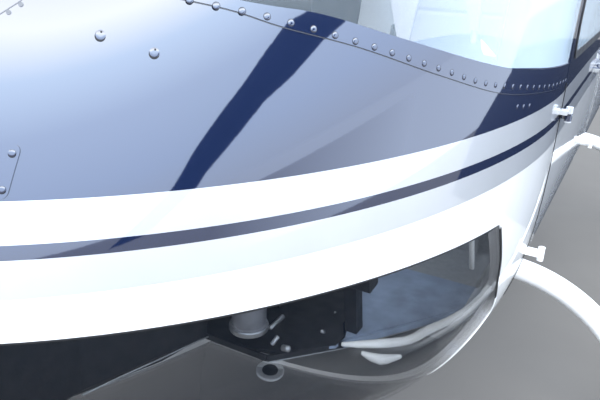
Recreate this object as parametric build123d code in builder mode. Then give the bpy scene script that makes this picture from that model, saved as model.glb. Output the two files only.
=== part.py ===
from build123d import *
import os
from math import cos, radians, sin, sqrt, tan

# A light single-turbine helicopter with a two-blade rotor, standing on its skids.
# Millimetres. +Z is up, +X is to port and +Y is towards the tail.
# The origin is on the ground under the middle of the overall length.
# A station is a distance behind the tip of the nose.

# Overall places
FUSELAGE_LENGTH = 9500
MAST_STATION = 2760
ROTOR_RADIUS = 5080
ORIGIN_STATION = (MAST_STATION - ROTOR_RADIUS + FUSELAGE_LENGTH) / 2

# Walls and gaps
WALL = 18
FRAME_WALL = 36
GLASS = 6
SEAL_GAP = 0.4
DOOR_GAP = 6
SEAT_GAP = 0.3
BIG = 800

# Cabin form: widest line, belly, roof, nose tip and shoulders
HALF_WIDTH = 660
WIDEST_HEIGHT = 1079
BELLY_HEIGHT = 435
BELLY_FLAT = 440
ROOF_CROWN = 2060
ROOF_FLAT = 2000
BELLY_POWER = 3.255
ROOF_POWER = 2.8
NOSE_HEIGHT = 961
CHIN_DEPTH = 900
CHIN_POWER = 2.5
BROW_RISE = 752
BROW_POWER = 1.435
SCREEN_HEIGHT = 1260
SCREEN_RISE = 833
SCREEN_POWER = 2.5
SHOULDER_STATION = 967
SHOULDER_HEIGHT = 1250
SHOULDER_RISE = 1143
CABIN_BACK = 2900
CABIN_LEVELS = (440, 470, 530, 640, 800, 961, 1110, 1260, 1430, 1620, 1790, 1900, 1965, 2000)

# Cabin panels
PANEL_SEAM_STATION = 966
SILL_HEIGHT = 560
ROOF_SEAM = 1890
KEEL_HALF = 30
CENTRE_POST_HALF = 21
FLOOR_TOP = 620
FLOOR_THICKNESS = 20
FLOOR_FRONT = 655
# Corners of the floor's front edge: X and station
FLOOR_CORNERS = ((285, FLOOR_FRONT), (380, 765), (590, 1080))
# Nose compartment on the keel: station, half width, and height where it starts and ends to widen
COMPARTMENT_SECTIONS = ((170, 75, 520, 640), (400, 90, 572, 628), (640, 158, 505, 622))
COMPARTMENT_FOOT = 27
COMPARTMENT_TOP = 1000
KEEL_TRUNK_BACK = 815
KEEL_TRUNK_TOP = 590

# Roof windows
ROOF_LIGHT_OFFSET = 172
ROOF_LIGHT_STATION = 1460
ROOF_LIGHT_WIDTH = 260
ROOF_LIGHT_LENGTH = 340
ROOF_LIGHT_RADIUS = 50

# Doors, seen from the side
DOOR_BOTTOM = 590
DOOR_TOP = 1860
BELT_HEIGHT = 1150
RAKE_BOTTOM = 1170
RAKE_TOP_STATION = 1250
CREW_DOOR_BACK = 1790
CABIN_DOOR_FRONT = 1872
CABIN_DOOR_BACK = 2740
JAMB_LAP = 16
HINGE_STANDOFF = 14
HINGE_RADIUS = 6
HINGE_PIN = 2.5
HINGE_LENGTH = 26
HINGE_PLATE = 7
HINGE_REACH = 27
HINGE_PLAY = 0.1
HINGE_HEIGHTS = (800, 1060)
HANDLE_LENGTH = 130
HANDLE_WIDTH = 22
HANDLE_DEPTH = 12
HANDLE_HEIGHT = 1060
CREW_HANDLE_STATION = 1640
CABIN_HANDLE_STATION = 2600

# Rear fuselage and boom
BOOM_FRONT = 4600
BOOM_BACK = 9020
BOOM_FRONT_RADIUS = 280
BOOM_BACK_RADIUS = 125
BOOM_FRONT_HEIGHT = 1620
BOOM_BACK_HEIGHT = 1760
BOOM_WALL = 6
REAR_WALL = 14
BAGGAGE_FRONT = 3180
BAGGAGE_BACK = 3720
BAGGAGE_BOTTOM = 1080
BAGGAGE_TOP = 1520
BAGGAGE_HINGES = (1170, 1390)
BAGGAGE_HINGE_X = 655
BAGGAGE_SKIN_X = 616
# Rear fuselage: station, half width, widest height, bottom, top, power below and above
REAR_SECTIONS = (
    (CABIN_BACK, HALF_WIDTH, WIDEST_HEIGHT, BELLY_HEIGHT, ROOF_CROWN, BELLY_POWER, ROOF_POWER),
    (3350, 610, 1130, 462, 2045, 3.1, 2.7),
    (3950, 440, 1370, 850, 2000, 2.5, 2.4),
    (BOOM_FRONT, BOOM_FRONT_RADIUS, BOOM_FRONT_HEIGHT, BOOM_FRONT_HEIGHT - BOOM_FRONT_RADIUS,
     BOOM_FRONT_HEIGHT + BOOM_FRONT_RADIUS, 2.0, 2.0),
)
SECTION_ANGLES = (-90, -68, -48, -26, 0, 26, 48, 68, 90)

# Cowlings
COWL_WALL = 8
FAIRING_FRONT = 1720
COWL_SPLIT = 3150
COWL_BACK = 4560
MAST_HOLE_RADIUS = 110
# Louvred side openings of the fairing and the cowling: first and last station
INTAKES = ((2840, 3080), (3250, 3500))
INTAKE_BOTTOM = 2025
INTAKE_TOP = 2105
SLAT_PITCH = 16
SLAT_THICKNESS = 3
SLAT_RANGE = (306, 322)
# Cowlings: station, half width, foot, shoulder and top
FAIRING_SECTIONS = (
    (FAIRING_FRONT, 210, ROOF_FLAT, 2008, 2040), (2050, 290, ROOF_FLAT, 2060, 2210),
    (2450, 325, ROOF_FLAT, 2110, 2330), (COWL_SPLIT, 330, ROOF_FLAT, 2130, 2380),
)
COWL_SECTIONS = (
    (COWL_SPLIT, 330, 1800, 2130, 2380), (3650, 322, 1780, 2110, 2350),
    (4150, 270, 1740, 2010, 2210), (COWL_BACK, 170, 1720, 1860, 1990),
)
ENGINE_FRONT = 3250
ENGINE_BACK = 3900
ENGINE_HALF = 200
ENGINE_TOP = 2230
GEARBOX_LENGTH = 300
GEARBOX_HALF = 150
EXHAUST_STATION = 3600
EXHAUST_OFFSET = 150
EXHAUST_RADIUS = 78
EXHAUST_WALL = 3
EXHAUST_BOTTOM = 2240
EXHAUST_TOP = 2520
EXHAUST_LEAN = 25
EXHAUST_LIP = 5

# Rotor
MAST_RADIUS = 38
MAST_BOTTOM = 2290
HUB_HEIGHT = 2835
ROTOR_TOP = 2910
BLADE_CHORD = 330
BLADE_THICKNESS = 38
BLADE_ROOT = 640
BLADE_TWIST = 8
BLADE_NOSE_SHARE = 0.3
BLADE_AXIS_SHARE = 0.25
BLADE_EDGE = 4
GRIP_RADIUS = 60
GRIP_INNER = 300
YOKE_HALF = 90
YOKE_THICKNESS = 50
TRUNNION_RADIUS = 34
TRUNNION_HALF = 150
SLEEVE_RADIUS = 60
SLEEVE_BORE = 46
SWASH_RADIUS = 135
SWASH_HEIGHT = 2450
SWASH_THICKNESS = 28
LINK_RADIUS = 9
LINK_OFFSET = 118
COLLAR_HEIGHT = 2600
COLLAR_THICKNESS = 34
HORN_REACH = 60
HORN_HALF = 14
HORN_THICKNESS = 24
FORK_LIFT = 24
FORK_THICKNESS = 12
FORK_WIDTH = 120
FORK_LENGTH = 260
FORK_BOLT_RADIUS = 17
MAST_NUT_RADIUS = 54
MAST_NUT_HEIGHT = 30

# Tail
TAIL_ROTOR_STATION = 8675
TAIL_ROTOR_HEIGHT = 1930
TAIL_ROTOR_RADIUS = 825
TAIL_CHORD = 133
TAIL_BLADE_THICKNESS = 16
TAIL_ROTOR_OFFSET = 330
TAIL_HUB_RADIUS = 48
TAIL_ROOT = 110
TAIL_SHAFT_RADIUS = 22
TAIL_GEARBOX_RADIUS = 85
TAIL_GEARBOX_LENGTH = 260
CROSSHEAD_RADIUS = 50
CROSSHEAD_OFFSET = 68
TAIL_HORN = 75
TAIL_LINK_OFFSET = 36
TAIL_LINK_RADIUS = 5
STABILIZER_STATION = 6500
STABILIZER_HEIGHT = 1650
STABILIZER_SPAN = 1970
STABILIZER_CHORD = 500
STABILIZER_THICKNESS = 62
FIN_OFFSET = -158
FIN_THICKNESS = 52
# Fin: height, station of the leading edge and of the trailing edge
FIN_SECTIONS = ((1130, 9070, 9400), (1750, 8560, 9120), (2700, 9140, FUSELAGE_LENGTH))
SHAFT_COVER_RADIUS = 52
SHAFT_COVER_BACK = 8540
TAIL_SKID_RADIUS = 14

# Skid gear
TREAD_HALF = 990
SKID_RADIUS = 38
CROSSTUBE_RADIUS = 31
CROSSTUBE_HEIGHT = 487
CROSSTUBE_BEND = 420
CROSSTUBE_LEAN = 65
FRONT_CROSSTUBE = 1553
REAR_CROSSTUBE = 3270
SKID_TOE = 720
SKID_HEEL = 3640
SKID_TOE_RISE = 250
SKID_TOE_RUN = 410
SKID_TOE_BEND = 420
SADDLE_WALL = 8
SADDLE_LENGTH = 130
LUG_STATION = 2860
LUG_LENGTH = 70
LUG_THICKNESS = 14
LUG_HEIGHT = 46
LUG_BORE = 16
HOOK_STATION = 2700
HOOK_SPACING = 140
HOOK_BORE = 8.5

# Cabin furniture
SEAT_CENTRE = 300
SEAT_WIDTH = 400
SEAT_FRONT = 1290
SEAT_BACK = 1760
SEAT_BASE_TOP = 860
CUSHION_THICKNESS = 90
SEAT_TOP = 1480
BENCH_FRONT = 2230
BENCH_BACK = 2700
BENCH_HALF = 540
PANEL_STATION = 800
PANEL_DEPTH = 130
PANEL_HALF = 330
PANEL_BOTTOM = 1010
PANEL_TOP = 1270
PEDESTAL_HALF = 110
PEDESTAL_BACK = 1230
PEDESTAL_TOP = 900
COLUMN_HALF = 125
COLUMN_FRONT = 1800
COLUMN_BACK = 1900
STICK_RADIUS = 13
STICK_STATION = 1130
STICK_TOP = 1160
HAND_GRIP_RADIUS = 19
HAND_GRIP_LENGTH = 115
LEVER_OFFSET = 225
PEDAL_STATION = 800
PEDAL_OFFSET = 85


DOOR_HINGE_X = HALF_WIDTH + HINGE_STANDOFF


def along(station):
    """The Y of a station."""
    return station - ORIGIN_STATION


def half_width(height):
    """Half the cabin's width at a height, a superellipse above and below its widest line."""
    if height >= WIDEST_HEIGHT:
        share, power = (height - WIDEST_HEIGHT) / (ROOF_CROWN - WIDEST_HEIGHT), ROOF_POWER
    else:
        share, power = (WIDEST_HEIGHT - height) / (WIDEST_HEIGHT - BELLY_HEIGHT), BELLY_POWER
    return HALF_WIDTH * (1 - share**power) ** (1 / power)


def front_station(height):
    """Where the nose or the windshield's middle lies at a height."""
    if height < NOSE_HEIGHT:
        drop = (NOSE_HEIGHT - height) / (NOSE_HEIGHT - BELLY_HEIGHT)
        return CHIN_DEPTH * drop**CHIN_POWER
    rise = (height - NOSE_HEIGHT) / 1000
    rake = max(height - SCREEN_HEIGHT, 0) / 1000
    return BROW_RISE * rise**BROW_POWER + SCREEN_RISE * rake**SCREEN_POWER


def shoulder_station(height):
    """Where the elliptical nose runs into the straight sides at a height."""
    rise = max(height - SHOULDER_HEIGHT, 0) / 1000
    return SHOULDER_STATION + SHOULDER_RISE * rise**2


def inward(profile, height, wall):
    """How far a wall reaches in on the level, where its skin leans as the profile does."""
    slope = (profile(height + 1) - profile(height - 1)) / 2
    return wall * sqrt(1 + slope**2)


def cabin_body(wall, back=CABIN_BACK):
    """The cabin as one closed form whose skin lies wall inside the outer skin."""
    low, high = BELLY_FLAT + wall, ROOF_FLAT - wall
    levels = [low] + [z for z in CABIN_LEVELS if low + 10 < z < high - 10] + [high]
    with BuildPart() as body:
        for z in levels:
            width, front, shoulder = half_width(z), front_station(z), shoulder_station(z)
            if wall:
                width -= inward(half_width, z, wall)
                front += inward(front_station, z, wall)
            with BuildSketch(Plane.XY.offset(z)):
                with BuildLine():
                    EllipticalCenterArc((0, along(shoulder)), width, shoulder - front,
                                        start_angle=180, arc_size=180)
                    Polyline((width, along(shoulder)), (width, along(back)),
                             (-width, along(back)), (-width, along(shoulder)))
                make_face()
        loft()
    return body.part


def side_prism(points, radii, reach, grow=0.0, start=0.0):
    """A rounded outline seen from the side, given in stations and heights, made a prism across X."""
    with BuildPart() as prism:
        with BuildSketch(Plane.YZ.offset(start)):
            with BuildLine():
                FilletPolyline(*[(along(s), z) for s, z in points], radius=radii, close=True)
            make_face()
            if grow:
                offset(amount=grow, kind=Kind.INTERSECTION if grow > 0 else Kind.ARC)
        extrude(amount=reach, both=start == 0)
    return prism.part


def slab(x_range, station_range, z_range):
    """A block between two X, two stations and two heights."""
    with BuildPart() as block:
        with Locations(((x_range[0] + x_range[1]) / 2, along(sum(station_range) / 2), sum(z_range) / 2)):
            Box(x_range[1] - x_range[0], station_range[1] - station_range[0], z_range[1] - z_range[0])
    return block.part


def finish(sub_part, name):
    """Label one sub-part and write it."""
    sub_part.part.label = name
    export_step(sub_part.part, f"parts/{name}.step")


os.makedirs("parts", exist_ok=True)

# The cabin's skin, its lining and the inside of its glass
outer_form = cabin_body(0)
inner_form = cabin_body(WALL, CABIN_BACK - WALL)
glass_form = cabin_body(GLASS, CABIN_BACK - WALL)
with BuildPart() as cabin_wall:
    add(outer_form)
    add(inner_form, mode=Mode.SUBTRACT)
with BuildPart() as glass_wall:
    add(outer_form)
    add(glass_form, mode=Mode.SUBTRACT)

# Outlines seen from the side: station and height of each corner
rake = (RAKE_TOP_STATION - PANEL_SEAM_STATION) / (DOOR_TOP - RAKE_BOTTOM)
crew_door_outline = [
    (PANEL_SEAM_STATION, DOOR_BOTTOM), (PANEL_SEAM_STATION, RAKE_BOTTOM),
    (RAKE_TOP_STATION, DOOR_TOP), (CREW_DOOR_BACK, DOOR_TOP), (CREW_DOOR_BACK, DOOR_BOTTOM),
]
crew_door_radii = [220, 120, 70, 70, 70]
cabin_door_outline = [
    (CABIN_DOOR_FRONT, DOOR_BOTTOM), (CABIN_DOOR_FRONT, DOOR_TOP),
    (CABIN_DOOR_BACK, DOOR_TOP), (CABIN_DOOR_BACK, DOOR_BOTTOM),
]
cabin_door_radii = [70, 70, 90, 200]
crew_window_outline = [
    (PANEL_SEAM_STATION + 50, BELT_HEIGHT), (PANEL_SEAM_STATION + 50, BELT_HEIGHT + 60),
    (RAKE_TOP_STATION + 60, DOOR_TOP - 60), (CREW_DOOR_BACK - 60, DOOR_TOP - 60),
    (CREW_DOOR_BACK - 60, BELT_HEIGHT),
]
crew_window_radii = [25, 60, 60, 60, 60]
cabin_window_outline = [
    (CABIN_DOOR_FRONT + 60, BELT_HEIGHT), (CABIN_DOOR_FRONT + 60, DOOR_TOP - 60),
    (CABIN_DOOR_BACK - 70, DOOR_TOP - 60), (CABIN_DOOR_BACK - 70, BELT_HEIGHT),
]
cabin_window_radii = [60, 60, 70, 70]
screen_back = PANEL_SEAM_STATION - 23
windshield_outline = [
    (-200, 1414), (335, 1241), (597, 1174), (screen_back, 1142), (screen_back, RAKE_BOTTOM + 10),
    (screen_back + rake * (ROOF_SEAM - RAKE_BOTTOM), ROOF_SEAM), (-200, ROOF_SEAM),
]
windshield_radii = [1, 300, 300, 20, 100, 1, 1]
chin_outline = [(-200, 969), (702, 943), (840, 738), (765, 655), (840, 400), (-200, 400)]
chin_radii = [1, 14, 55, 70, 1, 1]

crew_opening = side_prism(crew_door_outline, crew_door_radii, HALF_WIDTH + 50, DOOR_GAP)
cabin_opening = side_prism(cabin_door_outline, cabin_door_radii, HALF_WIDTH + 50, DOOR_GAP)
windshield_opening = side_prism(windshield_outline, windshield_radii, HALF_WIDTH + 50)
chin_opening = side_prism(chin_outline, chin_radii, HALF_WIDTH + 50)
keel_band = slab((-KEEL_HALF, KEEL_HALF), (-50, 1100), (0, NOSE_HEIGHT + 20))
post_band = slab((-CENTRE_POST_HALF, CENTRE_POST_HALF), (-50, 1300), (NOSE_HEIGHT, ROOF_SEAM))


def crosstube_path(station):
    """A crosstube's centre line: level under the floor, bent down to both skids."""
    run = CROSSTUBE_HEIGHT - 2 * SKID_RADIUS
    knee = TREAD_HALF - run / tan(radians(CROSSTUBE_LEAN))
    with BuildLine(Plane.XZ.offset(-along(station))) as path:
        FilletPolyline((-TREAD_HALF, 2 * SKID_RADIUS), (-knee, CROSSTUBE_HEIGHT),
                       (knee, CROSSTUBE_HEIGHT), (TREAD_HALF, 2 * SKID_RADIUS), radius=CROSSTUBE_BEND)
    return path.line


def crosstube(station, radius):
    """A round bar along a crosstube's centre line."""
    path = crosstube_path(station)
    with BuildPart() as bar:
        with BuildSketch(Plane(origin=path @ 0, z_dir=path % 0)):
            Circle(radius)
        sweep(path=path)
    return bar.part


front_clearance = crosstube(FRONT_CROSSTUBE, CROSSTUBE_RADIUS + SEAT_GAP)
rear_clearance = crosstube(REAR_CROSSTUBE, CROSSTUBE_RADIUS + SEAT_GAP)

# Nose: everything ahead of the door seam and under the windshield
nose_back = PANEL_SEAM_STATION - DOOR_GAP
with BuildPart() as nose_zone:
    add(slab((-BIG, BIG), (-50, nose_back), (BELLY_FLAT - 20, RAKE_BOTTOM)))
    add(slab((-BIG, BIG), (-50, nose_back - 200), (RAKE_BOTTOM - 50, ROOF_SEAM)))
with BuildPart() as chin_holes:
    add(chin_opening)
    add(keel_band, mode=Mode.SUBTRACT)


def hinge_half(side, station, axis_x, skin_x, height, toward, bored):
    """Half of an outside hinge: a barrel beside the skin and a plate to the panel it carries."""
    barrel = (HINGE_LENGTH - 1) / 2
    low = height - HINGE_LENGTH / 2 if bored else height + 0.5
    middle = low + barrel / 2
    plate = (middle - HINGE_PLATE / 2, middle + HINGE_PLATE / 2)
    outer = side * axis_x
    with BuildPart() as half:
        with Locations((outer, along(station), low)):
            Cylinder(HINGE_RADIUS, barrel, align=(Align.CENTER, Align.CENTER, Align.MIN))
        add(slab(sorted((outer, outer - side * HINGE_RADIUS)),
                 sorted((station, station + toward * HINGE_REACH)), plate))
        add(slab(sorted((outer, side * skin_x)),
                 sorted((station + toward * HINGE_REACH / 3, station + toward * HINGE_REACH)), plate))
        if bored:
            with Locations((outer, along(station), height)):
                Cylinder(HINGE_PIN + HINGE_PLAY, 2 * HINGE_LENGTH, mode=Mode.SUBTRACT)
        else:
            with Locations((outer, along(station), height)):
                Cylinder(HINGE_PIN, HINGE_LENGTH - 2)
    return half.part


with BuildPart() as nose_shell:
    add(cabin_wall.part)
    add(nose_zone.part, mode=Mode.INTERSECT)
    add(windshield_opening, mode=Mode.SUBTRACT)
    add(chin_holes.part, mode=Mode.SUBTRACT)
    for side in (1, -1):
        for height in HINGE_HEIGHTS:
            add(hinge_half(side, PANEL_SEAM_STATION - DOOR_GAP / 2, DOOR_HINGE_X,
                           half_width(height) - WALL / 2, height, -1, False))
finish(nose_shell, "nose_shell")

# Belly, roof and rear bulkhead
bulkhead_front = CABIN_BACK - WALL
with BuildPart() as belly_shell:
    add(cabin_wall.part)
    add(slab((-BIG, BIG), (nose_back, bulkhead_front), (0, SILL_HEIGHT)), mode=Mode.INTERSECT)
    add(front_clearance, mode=Mode.SUBTRACT)
    with Locations((0, along(HOOK_STATION), BELLY_FLAT + WALL)):
        with GridLocations(HOOK_SPACING, HOOK_SPACING, 2, 2):
            Hole(HOOK_BORE / 2)
finish(belly_shell, "belly_shell")

with BuildPart() as roof_lights:
    for side in (1, -1):
        with BuildSketch(Plane.XY.offset(ROOF_FLAT - 2 * WALL)):
            with Locations((side * ROOF_LIGHT_OFFSET, along(ROOF_LIGHT_STATION))):
                RectangleRounded(ROOF_LIGHT_WIDTH, ROOF_LIGHT_LENGTH, ROOF_LIGHT_RADIUS)
        extrude(amount=3 * WALL)
with BuildPart() as roof_shell:
    add(cabin_wall.part)
    add(slab((-BIG, BIG), (-50, bulkhead_front), (ROOF_SEAM, ROOF_CROWN)), mode=Mode.INTERSECT)
    add(roof_lights.part, mode=Mode.SUBTRACT)
finish(roof_shell, "roof_shell")

with BuildPart() as roof_windows:
    for side in (1, -1):
        with BuildSketch(Plane.XY.offset(ROOF_FLAT - GLASS)):
            with Locations((side * ROOF_LIGHT_OFFSET, along(ROOF_LIGHT_STATION))):
                RectangleRounded(ROOF_LIGHT_WIDTH - 2 * SEAL_GAP, ROOF_LIGHT_LENGTH - 2 * SEAL_GAP,
                                 ROOF_LIGHT_RADIUS - SEAL_GAP)
        extrude(amount=GLASS)
finish(roof_windows, "roof_windows")

with BuildPart() as rear_bulkhead:
    add(outer_form)
    add(slab((-BIG, BIG), (bulkhead_front, CABIN_BACK), (0, ROOF_CROWN)), mode=Mode.INTERSECT)
finish(rear_bulkhead, "rear_bulkhead")

# Door frames: a deeper wall whose inner layer laps behind the doors' edges
frame_form = cabin_body(FRAME_WALL, bulkhead_front)
jamb_form = cabin_body(WALL + DOOR_GAP, bulkhead_front)
with BuildPart() as door_layer:
    add(crew_opening)
    add(cabin_opening)
    add(jamb_form, mode=Mode.SUBTRACT)
with BuildPart() as clear_way:
    add(side_prism(crew_door_outline, crew_door_radii, HALF_WIDTH + 50, -JAMB_LAP))
    add(side_prism(cabin_door_outline, cabin_door_radii, HALF_WIDTH + 50, -JAMB_LAP))
for side, word in ((1, "left"), (-1, "right")):
    with BuildPart() as cabin_frame:
        add(outer_form)
        add(frame_form, mode=Mode.SUBTRACT)
        add(slab(sorted((side * 200, side * BIG)), (-50, bulkhead_front), (SILL_HEIGHT, ROOF_SEAM)),
            mode=Mode.INTERSECT)
        add(nose_zone.part, mode=Mode.SUBTRACT)
        add(windshield_opening, mode=Mode.SUBTRACT)
        add(door_layer.part, mode=Mode.SUBTRACT)
        add(clear_way.part, mode=Mode.SUBTRACT)
        for height in HINGE_HEIGHTS:
            add(hinge_half(side, CABIN_DOOR_FRONT - DOOR_GAP / 2, DOOR_HINGE_X,
                           half_width(height) - WALL / 2, height, -1, False))
    finish(cabin_frame, f"door_frame_{word}")

with BuildPart() as windshield_post:
    add(cabin_wall.part)
    add(windshield_opening, mode=Mode.INTERSECT)
    add(post_band, mode=Mode.INTERSECT)
finish(windshield_post, "windshield_post")

# Windshield and chin windows, a seal's gap inside their openings
windshield_pane = side_prism(windshield_outline, windshield_radii, HALF_WIDTH + 50, -SEAL_GAP)
chin_pane = side_prism(chin_outline, chin_radii, HALF_WIDTH + 50, -SEAL_GAP)
for side, word in ((1, "left"), (-1, "right")):
    with BuildPart() as windshield:
        add(glass_wall.part)
        add(windshield_pane, mode=Mode.INTERSECT)
        add(slab(sorted((side * (CENTRE_POST_HALF + SEAL_GAP), side * BIG)), (-50, 1400),
                 (NOSE_HEIGHT, ROOF_CROWN)), mode=Mode.INTERSECT)
    finish(windshield, f"windshield_{word}")
    with BuildPart() as chin_window:
        add(glass_wall.part)
        add(chin_pane, mode=Mode.INTERSECT)
        add(slab(sorted((side * (KEEL_HALF + SEAL_GAP), side * BIG)), (-50, 1100),
                 (0, NOSE_HEIGHT + 20)), mode=Mode.INTERSECT)
    finish(chin_window, f"chin_window_{word}")

# Doors with their windows, hinge barrels and handles
door_table = (
    ("crew", crew_door_outline, crew_door_radii, crew_window_outline, crew_window_radii,
     PANEL_SEAM_STATION - DOOR_GAP / 2, CREW_HANDLE_STATION),
    ("cabin", cabin_door_outline, cabin_door_radii, cabin_window_outline, cabin_window_radii,
     CABIN_DOOR_FRONT - DOOR_GAP / 2, CABIN_HANDLE_STATION),
)
for door_word, outline, radii, window, window_radii, hinge_station, handle_station in door_table:
    door_prism = side_prism(outline, radii, HALF_WIDTH + 50)
    window_hole = side_prism(window, window_radii, HALF_WIDTH + 50)
    window_pane = side_prism(window, window_radii, HALF_WIDTH + 50, -SEAL_GAP)
    for side, word in ((1, "left"), (-1, "right")):
        half_space = slab(sorted((side * 100, side * BIG)), (0, CABIN_BACK), (0, ROOF_CROWN))
        with BuildPart() as door:
            add(cabin_wall.part)
            add(door_prism, mode=Mode.INTERSECT)
            add(half_space, mode=Mode.INTERSECT)
            add(window_hole, mode=Mode.SUBTRACT)
            for height in HINGE_HEIGHTS:
                add(hinge_half(side, hinge_station, DOOR_HINGE_X, half_width(height) - WALL / 2,
                               height, 1, True))
            with BuildSketch(Plane.YZ.offset(side * (HALF_WIDTH - WALL / 2))):
                with Locations((along(handle_station), HANDLE_HEIGHT)):
                    SlotOverall(HANDLE_LENGTH, HANDLE_WIDTH)
            extrude(amount=side * (WALL / 2 + HANDLE_DEPTH))
        finish(door, f"{door_word}_door_{word}")
        with BuildPart() as door_glass:
            add(glass_wall.part)
            add(window_pane, mode=Mode.INTERSECT)
            add(half_space, mode=Mode.INTERSECT)
        finish(door_glass, f"{door_word}_door_glass_{word}")


# Rear fuselage, from the cabin's section to the boom's circle
def rear_body(wall):
    """The rear fuselage as one closed form whose skin is moved inward by wall."""
    with BuildPart() as body:
        for station, width, widest, bottom, top, low_power, high_power in REAR_SECTIONS:
            half = []
            for angle in SECTION_ANGLES:
                power = low_power if angle < 0 else high_power
                height = (widest - bottom if angle < 0 else top - widest) - wall
                rise = abs(sin(radians(angle))) ** (2 / power) * height
                half.append(((width - wall) * max(cos(radians(angle)), 0) ** (2 / power),
                             widest + (rise if angle > 0 else -rise)))
            with BuildSketch(Plane.XZ.offset(-along(station))):
                with BuildLine():
                    Spline(*half, tangents=[(1, 0), (-1, 0)])
                    Spline(*[(-x, z) for x, z in reversed(half)], tangents=[(-1, 0), (1, 0)])
                make_face()
        loft()
    return body.part


rear_form = rear_body(0)
below_roof = slab((-BIG, BIG), (CABIN_BACK, BOOM_FRONT), (0, ROOF_FLAT))
baggage_outline = [
    (BAGGAGE_FRONT, BAGGAGE_BOTTOM), (BAGGAGE_FRONT, BAGGAGE_TOP),
    (BAGGAGE_BACK, BAGGAGE_TOP), (BAGGAGE_BACK, BAGGAGE_BOTTOM),
]
baggage_axis = BAGGAGE_FRONT - DOOR_GAP / 2
baggage_opening = side_prism(baggage_outline, [50] * 4, HALF_WIDTH + 50, DOOR_GAP, 100)
with BuildPart() as rear_wall:
    add(rear_form)
    add(rear_body(REAR_WALL), mode=Mode.SUBTRACT)
    add(below_roof, mode=Mode.INTERSECT)
with BuildPart() as aft_fuselage:
    add(rear_wall.part)
    add(baggage_opening, mode=Mode.SUBTRACT)
    add(rear_clearance, mode=Mode.SUBTRACT)
    for height in BAGGAGE_HINGES:
        add(hinge_half(1, baggage_axis, BAGGAGE_HINGE_X, BAGGAGE_SKIN_X, height, -1, False))
finish(aft_fuselage, "aft_fuselage")

with BuildPart() as baggage_door:
    add(rear_wall.part)
    add(side_prism(baggage_outline, [50] * 4, HALF_WIDTH + 50, 0, 100), mode=Mode.INTERSECT)
    for height in BAGGAGE_HINGES:
        add(hinge_half(1, baggage_axis, BAGGAGE_HINGE_X, BAGGAGE_SKIN_X, height, 1, True))
finish(baggage_door, "baggage_door")


# Cowlings over the gearbox and the engine
def cowl_form(sections, wall):
    """An arched hood as one closed form, its sides and top moved inward by wall."""
    with BuildPart() as hood:
        for station, width, foot, shoulder, top in sections:
            width, top = width - wall, top - wall
            with BuildSketch(Plane.XZ.offset(-along(station))):
                with BuildLine():
                    Polyline((-width, shoulder), (-width, foot), (width, foot), (width, shoulder))
                    EllipticalCenterArc((0, shoulder), width, top - shoulder, start_angle=0, arc_size=180)
                make_face()
        loft()
    return hood.part


def louvred_opening(span):
    """A rounded hole through both side walls, and the slats across it."""
    front, back = span
    outline = [(front, INTAKE_BOTTOM), (front, INTAKE_TOP), (back, INTAKE_TOP), (back, INTAKE_BOTTOM)]
    with BuildPart() as slats:
        for side in (1, -1):
            for low in range(INTAKE_BOTTOM + SLAT_PITCH, INTAKE_TOP - SLAT_THICKNESS, SLAT_PITCH):
                add(slab(sorted((side * SLAT_RANGE[0], side * SLAT_RANGE[1])), (front - 4, back + 4),
                         (low, low + SLAT_THICKNESS)))
    return side_prism(outline, [18] * 4, HALF_WIDTH), slats.part


def exhaust_plane(side):
    """The plane across the foot of one leaning exhaust stack."""
    return Plane(origin=(side * EXHAUST_OFFSET, along(EXHAUST_STATION), EXHAUST_BOTTOM),
                 z_dir=(side * sin(radians(EXHAUST_LEAN)), 0, cos(radians(EXHAUST_LEAN))))


fairing_opening, fairing_slats = louvred_opening(INTAKES[0])
cowling_opening, cowling_slats = louvred_opening(INTAKES[1])
with BuildPart() as exhaust_cutters:
    for side in (1, -1):
        with BuildSketch(exhaust_plane(side)):
            Circle(EXHAUST_RADIUS + SEAT_GAP)
        extrude(amount=EXHAUST_TOP - EXHAUST_BOTTOM)
with BuildPart() as gearbox_fairing:
    add(cowl_form(FAIRING_SECTIONS, 0))
    add(cowl_form(FAIRING_SECTIONS, COWL_WALL), mode=Mode.SUBTRACT)
    with Locations((0, along(MAST_STATION), ROOF_CROWN + 300)):
        Cylinder(MAST_HOLE_RADIUS, 300, mode=Mode.SUBTRACT)
    add(fairing_opening, mode=Mode.SUBTRACT)
    add(fairing_slats)
finish(gearbox_fairing, "gearbox_fairing")

with BuildPart() as rear_solid:
    add(rear_form)
    add(below_roof, mode=Mode.INTERSECT)
with BuildPart() as engine_cowling:
    add(cowl_form(COWL_SECTIONS, 0))
    add(cowl_form(COWL_SECTIONS, COWL_WALL), mode=Mode.SUBTRACT)
    add(rear_solid.part, mode=Mode.SUBTRACT)
    add(exhaust_cutters.part, mode=Mode.SUBTRACT)
    add(cowling_opening, mode=Mode.SUBTRACT)
    add(cowling_slats)
finish(engine_cowling, "engine_cowling")

with BuildPart() as exhaust_stacks:
    for side in (1, -1):
        foot = exhaust_plane(side)
        with BuildSketch(foot):
            Circle(EXHAUST_RADIUS)
            Circle(EXHAUST_RADIUS - EXHAUST_WALL, mode=Mode.SUBTRACT)
        extrude(amount=EXHAUST_TOP - EXHAUST_BOTTOM)
        with BuildSketch(foot.offset(EXHAUST_TOP - EXHAUST_BOTTOM - 2 * EXHAUST_LIP)):
            Circle(EXHAUST_RADIUS + EXHAUST_LIP)
            Circle(EXHAUST_RADIUS - EXHAUST_WALL, mode=Mode.SUBTRACT)
        extrude(amount=2 * EXHAUST_LIP)
    add(slab((-BIG, BIG), (ENGINE_FRONT, ENGINE_BACK),
             (EXHAUST_BOTTOM - EXHAUST_RADIUS, ENGINE_TOP + SEAT_GAP)), mode=Mode.SUBTRACT)
finish(exhaust_stacks, "exhaust_stacks")

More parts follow.
